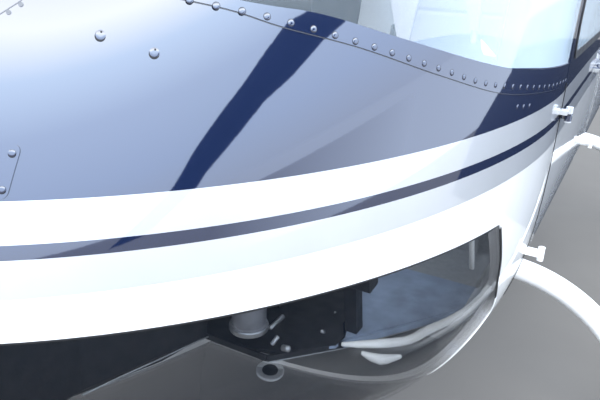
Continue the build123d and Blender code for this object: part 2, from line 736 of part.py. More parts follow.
with BuildPart() as engine:
    add(slab((-ENGINE_HALF, ENGINE_HALF), (ENGINE_FRONT, ENGINE_BACK), (ROOF_FLAT + SEAT_GAP, ENGINE_TOP)))
finish(engine, "engine")

with BuildPart() as main_gearbox:
    add(slab((-GEARBOX_HALF, GEARBOX_HALF),
             (MAST_STATION - GEARBOX_LENGTH / 2, CABIN_BACK - SEAT_GAP),
             (ROOF_FLAT + SEAT_GAP, MAST_BOTTOM - SEAT_GAP)))
finish(main_gearbox, "main_gearbox")

# Mast, swashplate and two-blade rotor
mast_y = along(MAST_STATION)
with BuildPart() as mast:
    with Locations((0, mast_y, MAST_BOTTOM)):
        Cylinder(MAST_RADIUS, ROTOR_TOP - MAST_BOTTOM, align=(Align.CENTER, Align.CENTER, Align.MIN))
    with BuildSketch(Plane.XY.offset(HUB_HEIGHT + TRUNNION_RADIUS + SEAT_GAP)):
        with Locations((0, mast_y)):
            RegularPolygon(MAST_NUT_RADIUS, 8)
    extrude(amount=MAST_NUT_HEIGHT)
finish(mast, "mast")

with BuildPart() as swashplate_base:
    with BuildSketch(Plane.XY.offset(MAST_BOTTOM)):
        with Locations((0, mast_y)):
            Circle(SLEEVE_RADIUS)
            Circle(SLEEVE_BORE, mode=Mode.SUBTRACT)
    extrude(amount=SWASH_HEIGHT - MAST_BOTTOM)
    with BuildSketch(Plane.XY.offset(SWASH_HEIGHT)):
        with Locations((0, mast_y)):
            Circle(SWASH_RADIUS)
            Circle(SLEEVE_BORE, mode=Mode.SUBTRACT)
    extrude(amount=SWASH_THICKNESS)
finish(swashplate_base, "swashplate_base")

horn_low = HUB_HEIGHT - HORN_THICKNESS / 2
link_foot = SWASH_HEIGHT + 2 * SWASH_THICKNESS
with BuildPart() as pitch_links:
    with BuildSketch(Plane.XY.offset(SWASH_HEIGHT + SWASH_THICKNESS + SEAT_GAP)):
        with Locations((0, mast_y)):
            Circle(SWASH_RADIUS)
            Circle(SLEEVE_BORE, mode=Mode.SUBTRACT)
    extrude(amount=SWASH_THICKNESS)
    with BuildSketch(Plane.XY.offset(COLLAR_HEIGHT)):
        with Locations((0, mast_y)):
            Circle(SLEEVE_RADIUS)
            Rectangle(2 * LINK_OFFSET, 4 * LINK_RADIUS)
            Circle(MAST_RADIUS + SEAT_GAP, mode=Mode.SUBTRACT)
    extrude(amount=COLLAR_THICKNESS)
    for side in (1, -1):
        with Locations((side * LINK_OFFSET, mast_y, link_foot)):
            Cylinder(LINK_RADIUS, COLLAR_HEIGHT - link_foot + 5,
                     align=(Align.CENTER, Align.CENTER, Align.MIN))
        with Locations((side * LINK_OFFSET, mast_y + side * HORN_REACH, link_foot)):
            Cylinder(LINK_RADIUS, horn_low - SEAT_GAP - link_foot,
                     align=(Align.CENTER, Align.CENTER, Align.MIN))
        for low in (link_foot, horn_low - SEAT_GAP - 3 * LINK_RADIUS):
            with Locations((side * LINK_OFFSET, mast_y + side * HORN_REACH, low)):
                Box(2.5 * LINK_RADIUS, 2 * HORN_HALF, 3 * LINK_RADIUS,
                    align=(Align.CENTER, Align.CENTER, Align.MIN))
finish(pitch_links, "pitch_links")

with BuildPart() as rotor_hub:
    with BuildSketch(Plane.XY.offset(HUB_HEIGHT - YOKE_THICKNESS / 2)):
        with Locations((0, mast_y)):
            RectangleRounded(2 * YOKE_HALF, 2 * GRIP_INNER + 60, 60)
    extrude(amount=YOKE_THICKNESS)
    with Locations(Location((0, mast_y, HUB_HEIGHT), (0, 90, 0))):
        Cylinder(TRUNNION_RADIUS, 2 * TRUNNION_HALF)
    for end in (1, -1):
        with Locations(Location((0, mast_y + end * (GRIP_INNER + BLADE_ROOT) / 2, HUB_HEIGHT), (90, 0, 0))):
            Cylinder(GRIP_RADIUS, BLADE_ROOT - GRIP_INNER)
        horn_back = MAST_STATION + end * (GRIP_INNER + 70)
        for inner, front in ((GRIP_RADIUS - 15, GRIP_INNER + 30),
                             (LINK_OFFSET - HORN_HALF, HORN_REACH - 16)):
            add(slab(sorted((end * inner, end * (LINK_OFFSET + HORN_HALF))),
                     sorted((MAST_STATION + end * front, horn_back)), (horn_low, horn_low + HORN_THICKNESS)))
        for up in (1, -1):
            with BuildSketch(Plane.XY.offset(HUB_HEIGHT + up * FORK_LIFT)):
                with Locations((0, mast_y + end * (BLADE_ROOT + 50))):
                    RectangleRounded(FORK_WIDTH, FORK_LENGTH, FORK_WIDTH / 2 - 5)
            extrude(amount=up * FORK_THICKNESS)
            with BuildSketch(Plane.XY.offset(HUB_HEIGHT + up * (FORK_LIFT + FORK_THICKNESS))):
                with Locations((0, mast_y + end * (BLADE_ROOT + 120))):
                    Circle(FORK_BOLT_RADIUS)
            extrude(amount=up * 10)
    with Locations((0, mast_y, HUB_HEIGHT)):
        Cylinder(MAST_RADIUS + SEAT_GAP, 4 * YOKE_THICKNESS, mode=Mode.SUBTRACT)
finish(rotor_hub, "rotor_hub")


def blade(chord, thickness, root, tip, twist):
    """One blade that reaches forward from the hub, leading edge to port, turned about its axis."""
    lead = chord * BLADE_AXIS_SHARE
    nose = chord * BLADE_NOSE_SHARE
    with BuildPart() as body:
        for reach, turn in ((root, twist / 2), (tip, -twist / 2)):
            plane = Plane(origin=(0, -reach, 0), x_dir=(cos(radians(turn)), 0, sin(radians(turn))),
                          z_dir=(0, -1, 0))
            with BuildSketch(plane):
                with BuildLine():
                    EllipticalCenterArc((lead - nose, 0), nose, thickness / 2,
                                        start_angle=-90, arc_size=180)
                    Polyline((lead - nose, thickness / 2), (lead - chord, BLADE_EDGE / 2),
                             (lead - chord, -BLADE_EDGE / 2), (lead - nose, -thickness / 2))
                make_face()
        loft(ruled=True)
    return body.part


main_blade = blade(BLADE_CHORD, BLADE_THICKNESS, BLADE_ROOT, ROTOR_RADIUS, BLADE_TWIST)
with BuildPart() as main_blades:
    with Locations((0, mast_y, HUB_HEIGHT)):
        with PolarLocations(0, 2):
            add(main_blade)
finish(main_blades, "main_blades")

# Tail boom, fin, stabilizer and tail rotor
def boom_body(wall):
    """The tail boom as one closed cone whose skin is moved inward by wall."""
    with BuildPart() as body:
        for station, radius, height in ((BOOM_FRONT, BOOM_FRONT_RADIUS, BOOM_FRONT_HEIGHT),
                                        (BOOM_BACK, BOOM_BACK_RADIUS, BOOM_BACK_HEIGHT)):
            with BuildSketch(Plane.XZ.offset(-along(station))):
                with Locations((0, height)):
                    Circle(radius - wall)
        loft(ruled=True)
    return body.part


def boom_height(station):
    """The height of the boom's middle at a station."""
    share = (station - BOOM_FRONT) / (BOOM_BACK - BOOM_FRONT)
    return BOOM_FRONT_HEIGHT + share * (BOOM_BACK_HEIGHT - BOOM_FRONT_HEIGHT)


def boom_radius(station):
    """The boom's radius at a station."""
    share = (station - BOOM_FRONT) / (BOOM_BACK - BOOM_FRONT)
    return BOOM_FRONT_RADIUS + share * (BOOM_BACK_RADIUS - BOOM_FRONT_RADIUS)


boom_form = boom_body(0)
with BuildPart() as boom_hollow:
    add(boom_body(BOOM_WALL))
    add(slab((-BIG, BIG), (BOOM_FRONT - 1, BOOM_BACK - BOOM_WALL), (0, ROOF_CROWN)), mode=Mode.INTERSECT)
with BuildPart() as tail_boom:
    add(boom_form)
    add(boom_hollow.part, mode=Mode.SUBTRACT)
finish(tail_boom, "tail_boom")

with BuildPart() as shaft_cover:
    for station in (BOOM_FRONT, SHAFT_COVER_BACK):
        with BuildSketch(Plane.XZ.offset(-along(station))):
            with Locations((0, boom_height(station) + boom_radius(station))):
                Circle(SHAFT_COVER_RADIUS)
    loft(ruled=True)
    add(boom_form, mode=Mode.SUBTRACT)
finish(shaft_cover, "shaft_cover")

with BuildPart() as stabilizer:
    with BuildSketch(Plane.YZ.offset(-STABILIZER_SPAN / 2)):
        with BuildLine():
            nose = STABILIZER_CHORD * BLADE_NOSE_SHARE
            start = along(STABILIZER_STATION) - STABILIZER_CHORD / 2 + nose
            EllipticalCenterArc((start, STABILIZER_HEIGHT), nose, STABILIZER_THICKNESS / 2,
                                start_angle=90, arc_size=180)
            tail = start - nose + STABILIZER_CHORD
            Polyline((start, STABILIZER_HEIGHT - STABILIZER_THICKNESS / 2),
                     (tail, STABILIZER_HEIGHT - BLADE_EDGE), (tail, STABILIZER_HEIGHT),
                     (start, STABILIZER_HEIGHT + STABILIZER_THICKNESS / 2))
        make_face()
    extrude(amount=STABILIZER_SPAN)
    add(boom_form, mode=Mode.SUBTRACT)
finish(stabilizer, "stabilizer")

with BuildPart() as vertical_fin:
    for height, lead, trail in FIN_SECTIONS:
        with BuildSketch(Plane.XY.offset(height)):
            with BuildLine():
                nose = (trail - lead) * BLADE_NOSE_SHARE
                y = along(lead) + nose
                EllipticalCenterArc((FIN_OFFSET, y), FIN_THICKNESS / 2, nose, start_angle=180, arc_size=180)
                Polyline((FIN_OFFSET + FIN_THICKNESS / 2, y), (FIN_OFFSET + BLADE_EDGE / 2, along(trail)),
                         (FIN_OFFSET - BLADE_EDGE / 2, along(trail)), (FIN_OFFSET - FIN_THICKNESS / 2, y))
            make_face()
    loft(ruled=True)
    add(boom_form, mode=Mode.SUBTRACT)
finish(vertical_fin, "vertical_fin")

with BuildPart() as tail_skid:
    height, lead, trail = FIN_SECTIONS[0]
    with BuildLine(Plane.YZ.offset(FIN_OFFSET)) as skid_line:
        FilletPolyline((along(lead + 60), height - TAIL_SKID_RADIUS - SEAT_GAP),
                       (along(trail), height - TAIL_SKID_RADIUS - SEAT_GAP),
                       (along(trail + 90), height - 60), radius=90)
    with BuildSketch(Plane(origin=skid_line.line @ 0, z_dir=skid_line.line % 0)):
        Circle(TAIL_SKID_RADIUS)
    sweep(path=skid_line.line)
finish(tail_skid, "tail_skid")

tail_hub = (TAIL_ROTOR_OFFSET, along(TAIL_ROTOR_STATION), TAIL_ROTOR_HEIGHT)
with BuildPart() as tail_gearbox:
    with Locations(Location((0, along(TAIL_ROTOR_STATION), TAIL_ROTOR_HEIGHT), (90, 0, 0))):
        Cylinder(TAIL_GEARBOX_RADIUS, TAIL_GEARBOX_LENGTH)
    with Locations(Location((TAIL_GEARBOX_RADIUS, along(TAIL_ROTOR_STATION), TAIL_ROTOR_HEIGHT),
                            (0, 90, 0))):
        Cylinder(TAIL_SHAFT_RADIUS * 2, TAIL_GEARBOX_RADIUS)
    add(boom_form, mode=Mode.SUBTRACT)
    add(slab((-BIG, BIG), (BOOM_FRONT, SHAFT_COVER_BACK), (0, 3000)), mode=Mode.SUBTRACT)
finish(tail_gearbox, "tail_gearbox")

gearbox_face = TAIL_GEARBOX_RADIUS * 1.5 + SEAT_GAP
with BuildPart() as tail_rotor:
    with Locations(Location(((gearbox_face + TAIL_ROTOR_OFFSET) / 2, tail_hub[1], tail_hub[2]), (0, 90, 0))):
        Cylinder(TAIL_SHAFT_RADIUS, TAIL_ROTOR_OFFSET - gearbox_face)
    with Locations(Location(tail_hub, (0, 90, 0))):
        Cylinder(TAIL_HUB_RADIUS, 70)
    crosshead_x = TAIL_ROTOR_OFFSET + CROSSHEAD_OFFSET
    with Locations(Location((TAIL_ROTOR_OFFSET + CROSSHEAD_OFFSET / 2, tail_hub[1], tail_hub[2]),
                            (0, 90, 0))):
        Cylinder(TAIL_SHAFT_RADIUS, CROSSHEAD_OFFSET)
    with Locations(Location((crosshead_x, tail_hub[1], tail_hub[2]), (0, 90, 0))):
        Cylinder(CROSSHEAD_RADIUS, 10)
    link_y = tail_hub[1] + TAIL_LINK_OFFSET
    with Locations((crosshead_x, link_y, tail_hub[2])):
        Box(10, 18, 2 * TAIL_HORN + 18)
    for end in (1, -1):
        link_z = tail_hub[2] + end * TAIL_HORN
        with Locations((TAIL_ROTOR_OFFSET, tail_hub[1] + TAIL_LINK_OFFSET / 2 + 4, link_z)):
            Box(16, TAIL_LINK_OFFSET + 10, 18)
        with Locations(Location(((TAIL_ROTOR_OFFSET + crosshead_x) / 2, link_y, link_z), (0, 90, 0))):
            Cylinder(TAIL_LINK_RADIUS, CROSSHEAD_OFFSET)
        with Locations((tail_hub[0], tail_hub[1], tail_hub[2] + end * TAIL_ROOT / 2)):
            Cylinder(TAIL_SHAFT_RADIUS, TAIL_ROOT + 20)
        nose = TAIL_CHORD * BLADE_NOSE_SHARE
        lead = tail_hub[1] - end * TAIL_CHORD * BLADE_AXIS_SHARE
        with BuildSketch(Plane.XY.offset(tail_hub[2] + end * TAIL_ROOT)):
            with BuildLine():
                EllipticalCenterArc((tail_hub[0], lead + end * nose), TAIL_BLADE_THICKNESS / 2, nose,
                                    start_angle=180 if end > 0 else 0, arc_size=180)
                Polyline((tail_hub[0] + end * TAIL_BLADE_THICKNESS / 2, lead + end * nose),
                         (tail_hub[0] + end, lead + end * TAIL_CHORD),
                         (tail_hub[0] - end, lead + end * TAIL_CHORD),
                         (tail_hub[0] - end * TAIL_BLADE_THICKNESS / 2, lead + end * nose))
            make_face()
        extrude(amount=end * (TAIL_ROTOR_RADIUS - TAIL_ROOT))
finish(tail_rotor, "tail_rotor")

# Skid gear
for station, clearance, word in ((FRONT_CROSSTUBE, front_clearance, "front"),
                                 (REAR_CROSSTUBE, rear_clearance, "rear")):
    with BuildPart() as tube:
        add(crosstube(station, CROSSTUBE_RADIUS))
    finish(tube, f"{word}_crosstube")

for side, word in ((1, "left"), (-1, "right")):
    with BuildPart() as skid:
        with BuildLine(Plane.YZ.offset(side * TREAD_HALF)) as runner:
            FilletPolyline((along(SKID_TOE), SKID_RADIUS + SKID_TOE_RISE),
                           (along(SKID_TOE + SKID_TOE_RUN), SKID_RADIUS),
                           (along(SKID_HEEL), SKID_RADIUS), radius=SKID_TOE_BEND)
        with BuildSketch(Plane(origin=runner.line @ 0, z_dir=runner.line % 0)):
            Circle(SKID_RADIUS)
        sweep(path=runner.line)
        for station in (FRONT_CROSSTUBE, REAR_CROSSTUBE):
            leg = Plane(origin=(side * TREAD_HALF, along(station), SKID_RADIUS),
                        z_dir=(-side * cos(radians(CROSSTUBE_LEAN)), 0, sin(radians(CROSSTUBE_LEAN))))
            with BuildSketch(leg):
                Circle(CROSSTUBE_RADIUS + SEAT_GAP + SADDLE_WALL)
            extrude(amount=SADDLE_LENGTH)
        with Locations((side * TREAD_HALF, along(LUG_STATION), 2 * SKID_RADIUS + LUG_HEIGHT / 2 - 6)):
            Box(LUG_THICKNESS, LUG_LENGTH, LUG_HEIGHT + 12)
        with Locations(Location((side * TREAD_HALF, along(LUG_STATION), 2 * SKID_RADIUS + LUG_HEIGHT / 2),
                                (0, 90, 0))):
            Cylinder(LUG_BORE / 2, 3 * LUG_THICKNESS, mode=Mode.SUBTRACT)
        add(front_clearance, mode=Mode.SUBTRACT)
        add(rear_clearance, mode=Mode.SUBTRACT)
    finish(skid, f"skid_{word}")

# Cabin floor, furniture and flying controls
lining_form = cabin_body(FRAME_WALL + SEAT_GAP, bulkhead_front - SEAT_GAP)
floor_back = bulkhead_front - SEAT_GAP
with BuildPart() as cabin_floor:
    with BuildSketch(Plane.XY.offset(FLOOR_TOP - FLOOR_THICKNESS)):
        with BuildLine():
            Polyline(*[(-x, along(station)) for x, station in reversed(FLOOR_CORNERS)],
                     *[(x, along(station)) for x, station in FLOOR_CORNERS],
                     (BIG, along(FLOOR_CORNERS[-1][1])), (BIG, along(floor_back)),
                     (-BIG, along(floor_back)), (-BIG, along(FLOOR_CORNERS[-1][1])), close=True)
        make_face()
    extrude(amount=FLOOR_THICKNESS)
    add(lining_form, mode=Mode.INTERSECT)
finish(cabin_floor, "cabin_floor")

compartment_form = cabin_body(WALL + SEAT_GAP)
with BuildPart() as nose_compartment:
    for station, half, low, high in COMPARTMENT_SECTIONS:
        with BuildSketch(Plane.XZ.offset(-along(station))):
            with BuildLine():
                half_section = [(COMPARTMENT_FOOT, BELLY_HEIGHT), (COMPARTMENT_FOOT, low), (half, high),
                                (half, COMPARTMENT_TOP)]
                Polyline(*half_section, *[(-x, z) for x, z in reversed(half_section)], close=True)
            make_face()
    loft(ruled=True)
    add(slab((-COMPARTMENT_FOOT, COMPARTMENT_FOOT), (COMPARTMENT_SECTIONS[-1][0], KEEL_TRUNK_BACK),
             (BELLY_HEIGHT, KEEL_TRUNK_TOP)))
    add(compartment_form, mode=Mode.INTERSECT)
finish(nose_compartment, "nose_compartment")

with BuildPart() as front_seats:
    for side in (1, -1):
        with BuildSketch(Plane.YZ.offset(side * SEAT_CENTRE - SEAT_WIDTH / 2)):
            with BuildLine():
                FilletPolyline((along(SEAT_FRONT), FLOOR_TOP), (along(SEAT_FRONT), SEAT_BASE_TOP),
                               (along(SEAT_BACK - 110), SEAT_BASE_TOP - 30),
                               (along(SEAT_BACK - 20), SEAT_TOP), (along(SEAT_BACK + 20), SEAT_TOP),
                               (along(SEAT_BACK), FLOOR_TOP), radius=(0, 20, 20, 10, 10, 0), close=True)
            make_face()
        extrude(amount=SEAT_WIDTH)
finish(front_seats, "front_seats")

with BuildPart() as front_cushions:
    for side in (1, -1):
        with BuildSketch(Plane.YZ.offset(side * SEAT_CENTRE - SEAT_WIDTH / 2 + 15)):
            with BuildLine():
                FilletPolyline((along(SEAT_FRONT), SEAT_BASE_TOP + SEAT_GAP),
                               (along(SEAT_FRONT - 15), SEAT_BASE_TOP + CUSHION_THICKNESS),
                               (along(SEAT_BACK - 190), SEAT_BASE_TOP + CUSHION_THICKNESS - 20),
                               (along(SEAT_BACK - 100), SEAT_TOP),
                               (along(SEAT_BACK - 20 - SEAT_GAP), SEAT_TOP),
                               (along(SEAT_BACK - 110 - SEAT_GAP), SEAT_BASE_TOP - 30 + SEAT_GAP),
                               radius=(15, 30, 60, 30, 15, 20), close=True)
            make_face()
        extrude(amount=SEAT_WIDTH - 30)
finish(front_cushions, "front_cushions")

with BuildPart() as rear_bench:
    with BuildSketch(Plane.YZ.offset(-BENCH_HALF)):
        with BuildLine():
            FilletPolyline((along(BENCH_FRONT), FLOOR_TOP), (along(BENCH_FRONT), SEAT_BASE_TOP),
                           (along(BENCH_BACK - 80), SEAT_BASE_TOP - 30),
                           (along(BENCH_BACK + 40), SEAT_TOP), (along(bulkhead_front - 20), SEAT_TOP),
                           (along(bulkhead_front - 20), FLOOR_TOP),
                           radius=(0, 20, 20, 20, 20, 0), close=True)
        make_face()
    extrude(amount=2 * BENCH_HALF)
    add(lining_form, mode=Mode.INTERSECT)
finish(rear_bench, "rear_bench")

with BuildPart() as rear_cushions:
    for middle in (-1, 0, 1):
        with BuildSketch(Plane.YZ.offset((middle - 0.5) * 2 * BENCH_HALF / 3 + 6)):
            with BuildLine():
                FilletPolyline((along(BENCH_FRONT), SEAT_BASE_TOP + SEAT_GAP),
                               (along(BENCH_FRONT - 15), SEAT_BASE_TOP + CUSHION_THICKNESS),
                               (along(BENCH_BACK - 170), SEAT_BASE_TOP + CUSHION_THICKNESS - 20),
                               (along(BENCH_BACK - 50), SEAT_TOP),
                               (along(BENCH_BACK + 40 - SEAT_GAP), SEAT_TOP),
                               (along(BENCH_BACK - 80 - SEAT_GAP), SEAT_BASE_TOP - 30 + SEAT_GAP),
                               radius=(15, 30, 60, 30, 15, 20), close=True)
            make_face()
        extrude(amount=2 * BENCH_HALF / 3 - 12)
finish(rear_cushions, "rear_cushions")

with BuildPart() as instrument_panel:
    with BuildSketch(Plane.YZ.offset(-PANEL_HALF)):
        with BuildLine():
            FilletPolyline((along(PANEL_STATION - PANEL_DEPTH), PANEL_TOP - 25),
                           (along(PANEL_STATION + 40), PANEL_TOP),
                           (along(PANEL_STATION + 55), PANEL_TOP - 20),
                           (along(PANEL_STATION), PANEL_BOTTOM),
                           (along(PANEL_STATION - PANEL_DEPTH), PANEL_BOTTOM + 60),
                           radius=(30, 10, 8, 20, 20), close=True)
        make_face()
    extrude(amount=2 * PANEL_HALF)
    with BuildSketch(Plane.YZ.offset(-PEDESTAL_HALF)):
        with BuildLine():
            FilletPolyline((along(FLOOR_FRONT + 40), FLOOR_TOP),
                           (along(PANEL_STATION - 90), PANEL_BOTTOM + 80),
                           (along(PANEL_STATION), PANEL_BOTTOM + 80),
                           (along(PANEL_STATION + 110), PEDESTAL_TOP),
                           (along(PEDESTAL_BACK), PEDESTAL_TOP - 70),
                           (along(PEDESTAL_BACK + 10), FLOOR_TOP),
                           radius=(0, 20, 0, 60, 40, 0), close=True)
        make_face()
    extrude(amount=2 * PEDESTAL_HALF)
finish(instrument_panel, "instrument_panel")

with BuildPart() as control_column:
    add(slab((-COLUMN_HALF, COLUMN_HALF), (COLUMN_FRONT, COLUMN_BACK),
             (FLOOR_TOP, ROOF_FLAT - WALL - SEAT_GAP)))
    fillet(control_column.edges().filter_by(Axis.Z), 25)
finish(control_column, "control_column")


def stick(points, bends):
    """A bent round rod through points given by X, station and height, with a hand grip at its end."""
    with BuildLine() as line:
        FilletPolyline(*[(x, along(station), z) for x, station, z in points], radius=bends)
    with BuildPart() as rod:
        with BuildSketch(Plane(origin=line.line @ 0, z_dir=line.line % 0)):
            Circle(STICK_RADIUS)
        sweep(path=line.line)
        with BuildSketch(Plane(origin=line.line @ 1, z_dir=-(line.line % 1))):
            Circle(HAND_GRIP_RADIUS)
        extrude(amount=HAND_GRIP_LENGTH)
    return rod.part


under_floor = slab((-BIG, BIG), (FLOOR_FRONT, BENCH_FRONT), (FLOOR_TOP - FLOOR_THICKNESS, FLOOR_TOP))
with BuildPart() as cyclic_sticks:
    for side in (1, -1):
        add(stick([(side * SEAT_CENTRE, STICK_STATION, FLOOR_TOP - STICK_RADIUS),
                   (side * SEAT_CENTRE, STICK_STATION + 10, STICK_TOP - 330),
                   (side * SEAT_CENTRE, STICK_STATION - 40, STICK_TOP - 120),
                   (side * SEAT_CENTRE, STICK_STATION + 5, STICK_TOP)], (120, 120)))
    add(under_floor, mode=Mode.SUBTRACT)
finish(cyclic_sticks, "cyclic_sticks")

with BuildPart() as collective_levers:
    for side in (1, -1):
        x = side * SEAT_CENTRE + LEVER_OFFSET
        add(stick([(x, SEAT_FRONT + 160, FLOOR_TOP - STICK_RADIUS),
                   (x, SEAT_FRONT + 130, FLOOR_TOP + 110),
                   (x, PEDESTAL_BACK + 30, FLOOR_TOP + 180)], (60,)))
    add(under_floor, mode=Mode.SUBTRACT)
finish(collective_levers, "collective_levers")

with BuildPart() as pedals:
    for side in (1, -1):
        for foot in (1, -1):
            x = side * SEAT_CENTRE + foot * PEDAL_OFFSET
            with BuildSketch(Plane.YZ.offset(x - 12)):
                with BuildLine():
                    FilletPolyline((along(PEDAL_STATION - 12), FLOOR_TOP),
                                   (along(PEDAL_STATION - 50), FLOOR_TOP + 190),
                                   (along(PEDAL_STATION - 25), FLOOR_TOP + 195),
                                   (along(PEDAL_STATION + 18), FLOOR_TOP), radius=(0, 8, 8, 0), close=True)
                make_face()
            extrude(amount=24)
            with BuildSketch(Plane.YZ.offset(x - 50)):
                with BuildLine():
                    FilletPolyline((along(PEDAL_STATION - 66), FLOOR_TOP + 130),
                                   (along(PEDAL_STATION - 82), FLOOR_TOP + 232),
                                   (along(PEDAL_STATION - 64), FLOOR_TOP + 236),
                                   (along(PEDAL_STATION - 26), FLOOR_TOP + 134), radius=5, close=True)
                make_face()
            extrude(amount=100)
finish(pedals, "pedals")
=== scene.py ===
import math

import bmesh
import bpy
import numpy as np
from mathutils import Matrix, Vector
from mathutils.bvhtree import BVHTree
from mathutils.geometry import delaunay_2d_cdt


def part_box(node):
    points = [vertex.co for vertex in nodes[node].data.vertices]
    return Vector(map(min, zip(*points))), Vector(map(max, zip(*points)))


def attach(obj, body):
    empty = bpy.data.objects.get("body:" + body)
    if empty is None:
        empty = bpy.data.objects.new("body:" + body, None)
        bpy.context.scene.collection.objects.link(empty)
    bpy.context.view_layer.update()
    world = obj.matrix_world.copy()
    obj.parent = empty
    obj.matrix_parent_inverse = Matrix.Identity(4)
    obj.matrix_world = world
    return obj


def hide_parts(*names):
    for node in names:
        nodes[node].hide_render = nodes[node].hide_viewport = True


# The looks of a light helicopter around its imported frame.
# Metres, in the frame's own axes: +Z is up, +X is to port and +Y is towards the tail.
# A station is a distance behind the tip of the nose.

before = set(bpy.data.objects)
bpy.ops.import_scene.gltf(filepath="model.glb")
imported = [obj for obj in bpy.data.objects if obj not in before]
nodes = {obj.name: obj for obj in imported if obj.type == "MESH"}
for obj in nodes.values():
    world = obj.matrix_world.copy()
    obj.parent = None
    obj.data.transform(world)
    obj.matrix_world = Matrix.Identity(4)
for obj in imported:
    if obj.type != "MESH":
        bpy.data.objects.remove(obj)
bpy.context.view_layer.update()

NOSE_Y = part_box("nose_shell")[0].y

# Cabin form, the same superellipses and nose ellipse as the solids
HALF_WIDTH = 0.660
WIDEST_HEIGHT = 1.079
BELLY_HEIGHT = 0.435
ROOF_CROWN = 2.060
BELLY_POWER = 3.255
ROOF_POWER = 2.8
NOSE_HEIGHT = 0.961
CHIN_DEPTH = 0.900
CHIN_POWER = 2.5
BROW_RISE = 0.752
BROW_POWER = 1.435
SCREEN_HEIGHT = 1.260
SCREEN_RISE = 0.833
SCREEN_POWER = 2.5
SHOULDER_STATION = 0.967
SHOULDER_HEIGHT = 1.250
SHOULDER_RISE = 1.143
PANEL_SEAM_STATION = 0.966
DOOR_GAP = 0.006
FLOOR_TOP = 0.620

# Stripes: height of each edge at the nose tip, and how much it climbs with each metre aft
STRIPE_EDGES = (0.9973, 1.0312, 1.0444, 1.0808)
STRIPE_CLIMB = 0.018
# Where the stripes sweep up from the cabin to the boom, and by how much
SWEEP_START = 2.55
SWEEP_END = 4.75
SWEEP_RISE = 0.56

# Camera: place, heading, dive and roll in degrees, and focal length on a 36 mm sensor
CAMERA_PLACE = (0.7689, -0.1633 + NOSE_Y, 1.2869)
CAMERA_YAW = -27.995
CAMERA_DIVE = 21.154
CAMERA_ROLL = 2.561
CAMERA_LENS = 37.51


def along(station):
    """The Y of a station."""
    return station + NOSE_Y


def half_width(height):
    """Half the cabin's width at a height."""
    if height >= WIDEST_HEIGHT:
        share, power = (height - WIDEST_HEIGHT) / (ROOF_CROWN - WIDEST_HEIGHT), ROOF_POWER
    else:
        share, power = (WIDEST_HEIGHT - height) / (WIDEST_HEIGHT - BELLY_HEIGHT), BELLY_POWER
    return HALF_WIDTH * max(1 - share**power, 0) ** (1 / power)


def front_station(height):
    """Where the nose's middle lies at a height."""
    if height < NOSE_HEIGHT:
        return CHIN_DEPTH * ((NOSE_HEIGHT - height) / (NOSE_HEIGHT - BELLY_HEIGHT)) ** CHIN_POWER
    rake = max(height - SCREEN_HEIGHT, 0)
    return BROW_RISE * (height - NOSE_HEIGHT) ** BROW_POWER + SCREEN_RISE * rake**SCREEN_POWER


def shoulder_station(height):
    """Where the elliptical nose runs into the straight sides at a height."""
    return SHOULDER_STATION + SHOULDER_RISE * max(height - SHOULDER_HEIGHT, 0) ** 2


def skin_point(turn, height):
    """A point of the cabin's skin. Turn 0 is the middle of the nose and 1 the shoulder."""
    front, shoulder = front_station(height), shoulder_station(height)
    if turn > 1:
        return Vector((half_width(height), along(shoulder + turn - 1), height))
    angle = turn * math.pi / 2
    return Vector((half_width(height) * math.sin(angle),
                   along(shoulder - (shoulder - front) * math.cos(angle)), height))


def skin_normal(turn, height):
    """The outward normal of the cabin's skin."""
    step = 1e-4
    across = skin_point(turn + step, height) - skin_point(turn - step, height)
    up = skin_point(turn, height + step) - skin_point(turn, height - step)
    return across.cross(up).normalized()


def on_skin(turn, height, lift=0.0):
    """A point lifted off the cabin's skin."""
    return skin_point(turn, height) + skin_normal(turn, height) * lift


def turn_at(station, height):
    """The turn at which the skin passes a station."""
    front, shoulder = front_station(height), shoulder_station(height)
    if station >= shoulder:
        return 1 + station - shoulder
    share = (shoulder - station) / (shoulder - front)
    return math.acos(min(max(share, 0), 1)) / (math.pi / 2)


def placed(spots):
    """Points given by X, station and height, in the frame's own axes."""
    return [(x, along(station), height) for x, station, height in spots]


def level(spots, height):
    """Points at one height, given by X and station."""
    return placed([(x, station, height) for x, station in spots])


def turns(spots):
    """Turns and heights of places on the skin given by station and height."""
    return [(turn_at(station, height), height) for station, height in spots]


# Materials

def new_material(name, colour, roughness, metallic=0.0):
    """A Principled material, its node tree and its shader."""
    material = bpy.data.materials.new(name)
    material.use_nodes = True
    tree = material.node_tree
    shader = tree.nodes["Principled BSDF"]
    shader.inputs["Base Color"].default_value = (*colour, 1)
    shader.inputs["Roughness"].default_value = roughness
    shader.inputs["Metallic"].default_value = metallic
    return material, tree, shader


def feed(tree, node, inputs):
    """Set a node's inputs, or link them where the value is another node's output."""
    for key, value in inputs.items():
        if isinstance(value, bpy.types.NodeSocket):
            tree.links.new(value, node.inputs[key])
        else:
            node.inputs[key].default_value = value
    return node


def add_node(tree, kind, inputs, **settings):
    """A new shader node with its settings and inputs."""
    node = tree.nodes.new(f"ShaderNode{kind}")
    for key, value in settings.items():
        setattr(node, key, value)
    return feed(tree, node, inputs)


def coordinate(tree, axis, kind="Object"):
    """One axis of a texture coordinate."""
    place = add_node(tree, "TexCoord", {}).outputs[kind]
    return add_node(tree, "SeparateXYZ", {"Vector": place}).outputs[axis]


def noise(tree, scale, detail, stretch=(1, 1, 1)):
    """A noise texture in object space. Returns its value output."""
    place = add_node(tree, "TexCoord", {}).outputs["Object"]
    place = add_node(tree, "Mapping", {"Vector": place, "Scale": stretch}).outputs["Vector"]
    inputs = {"Vector": place, "Scale": scale, "Detail": detail}
    return add_node(tree, "TexNoise", inputs).outputs["Fac"]


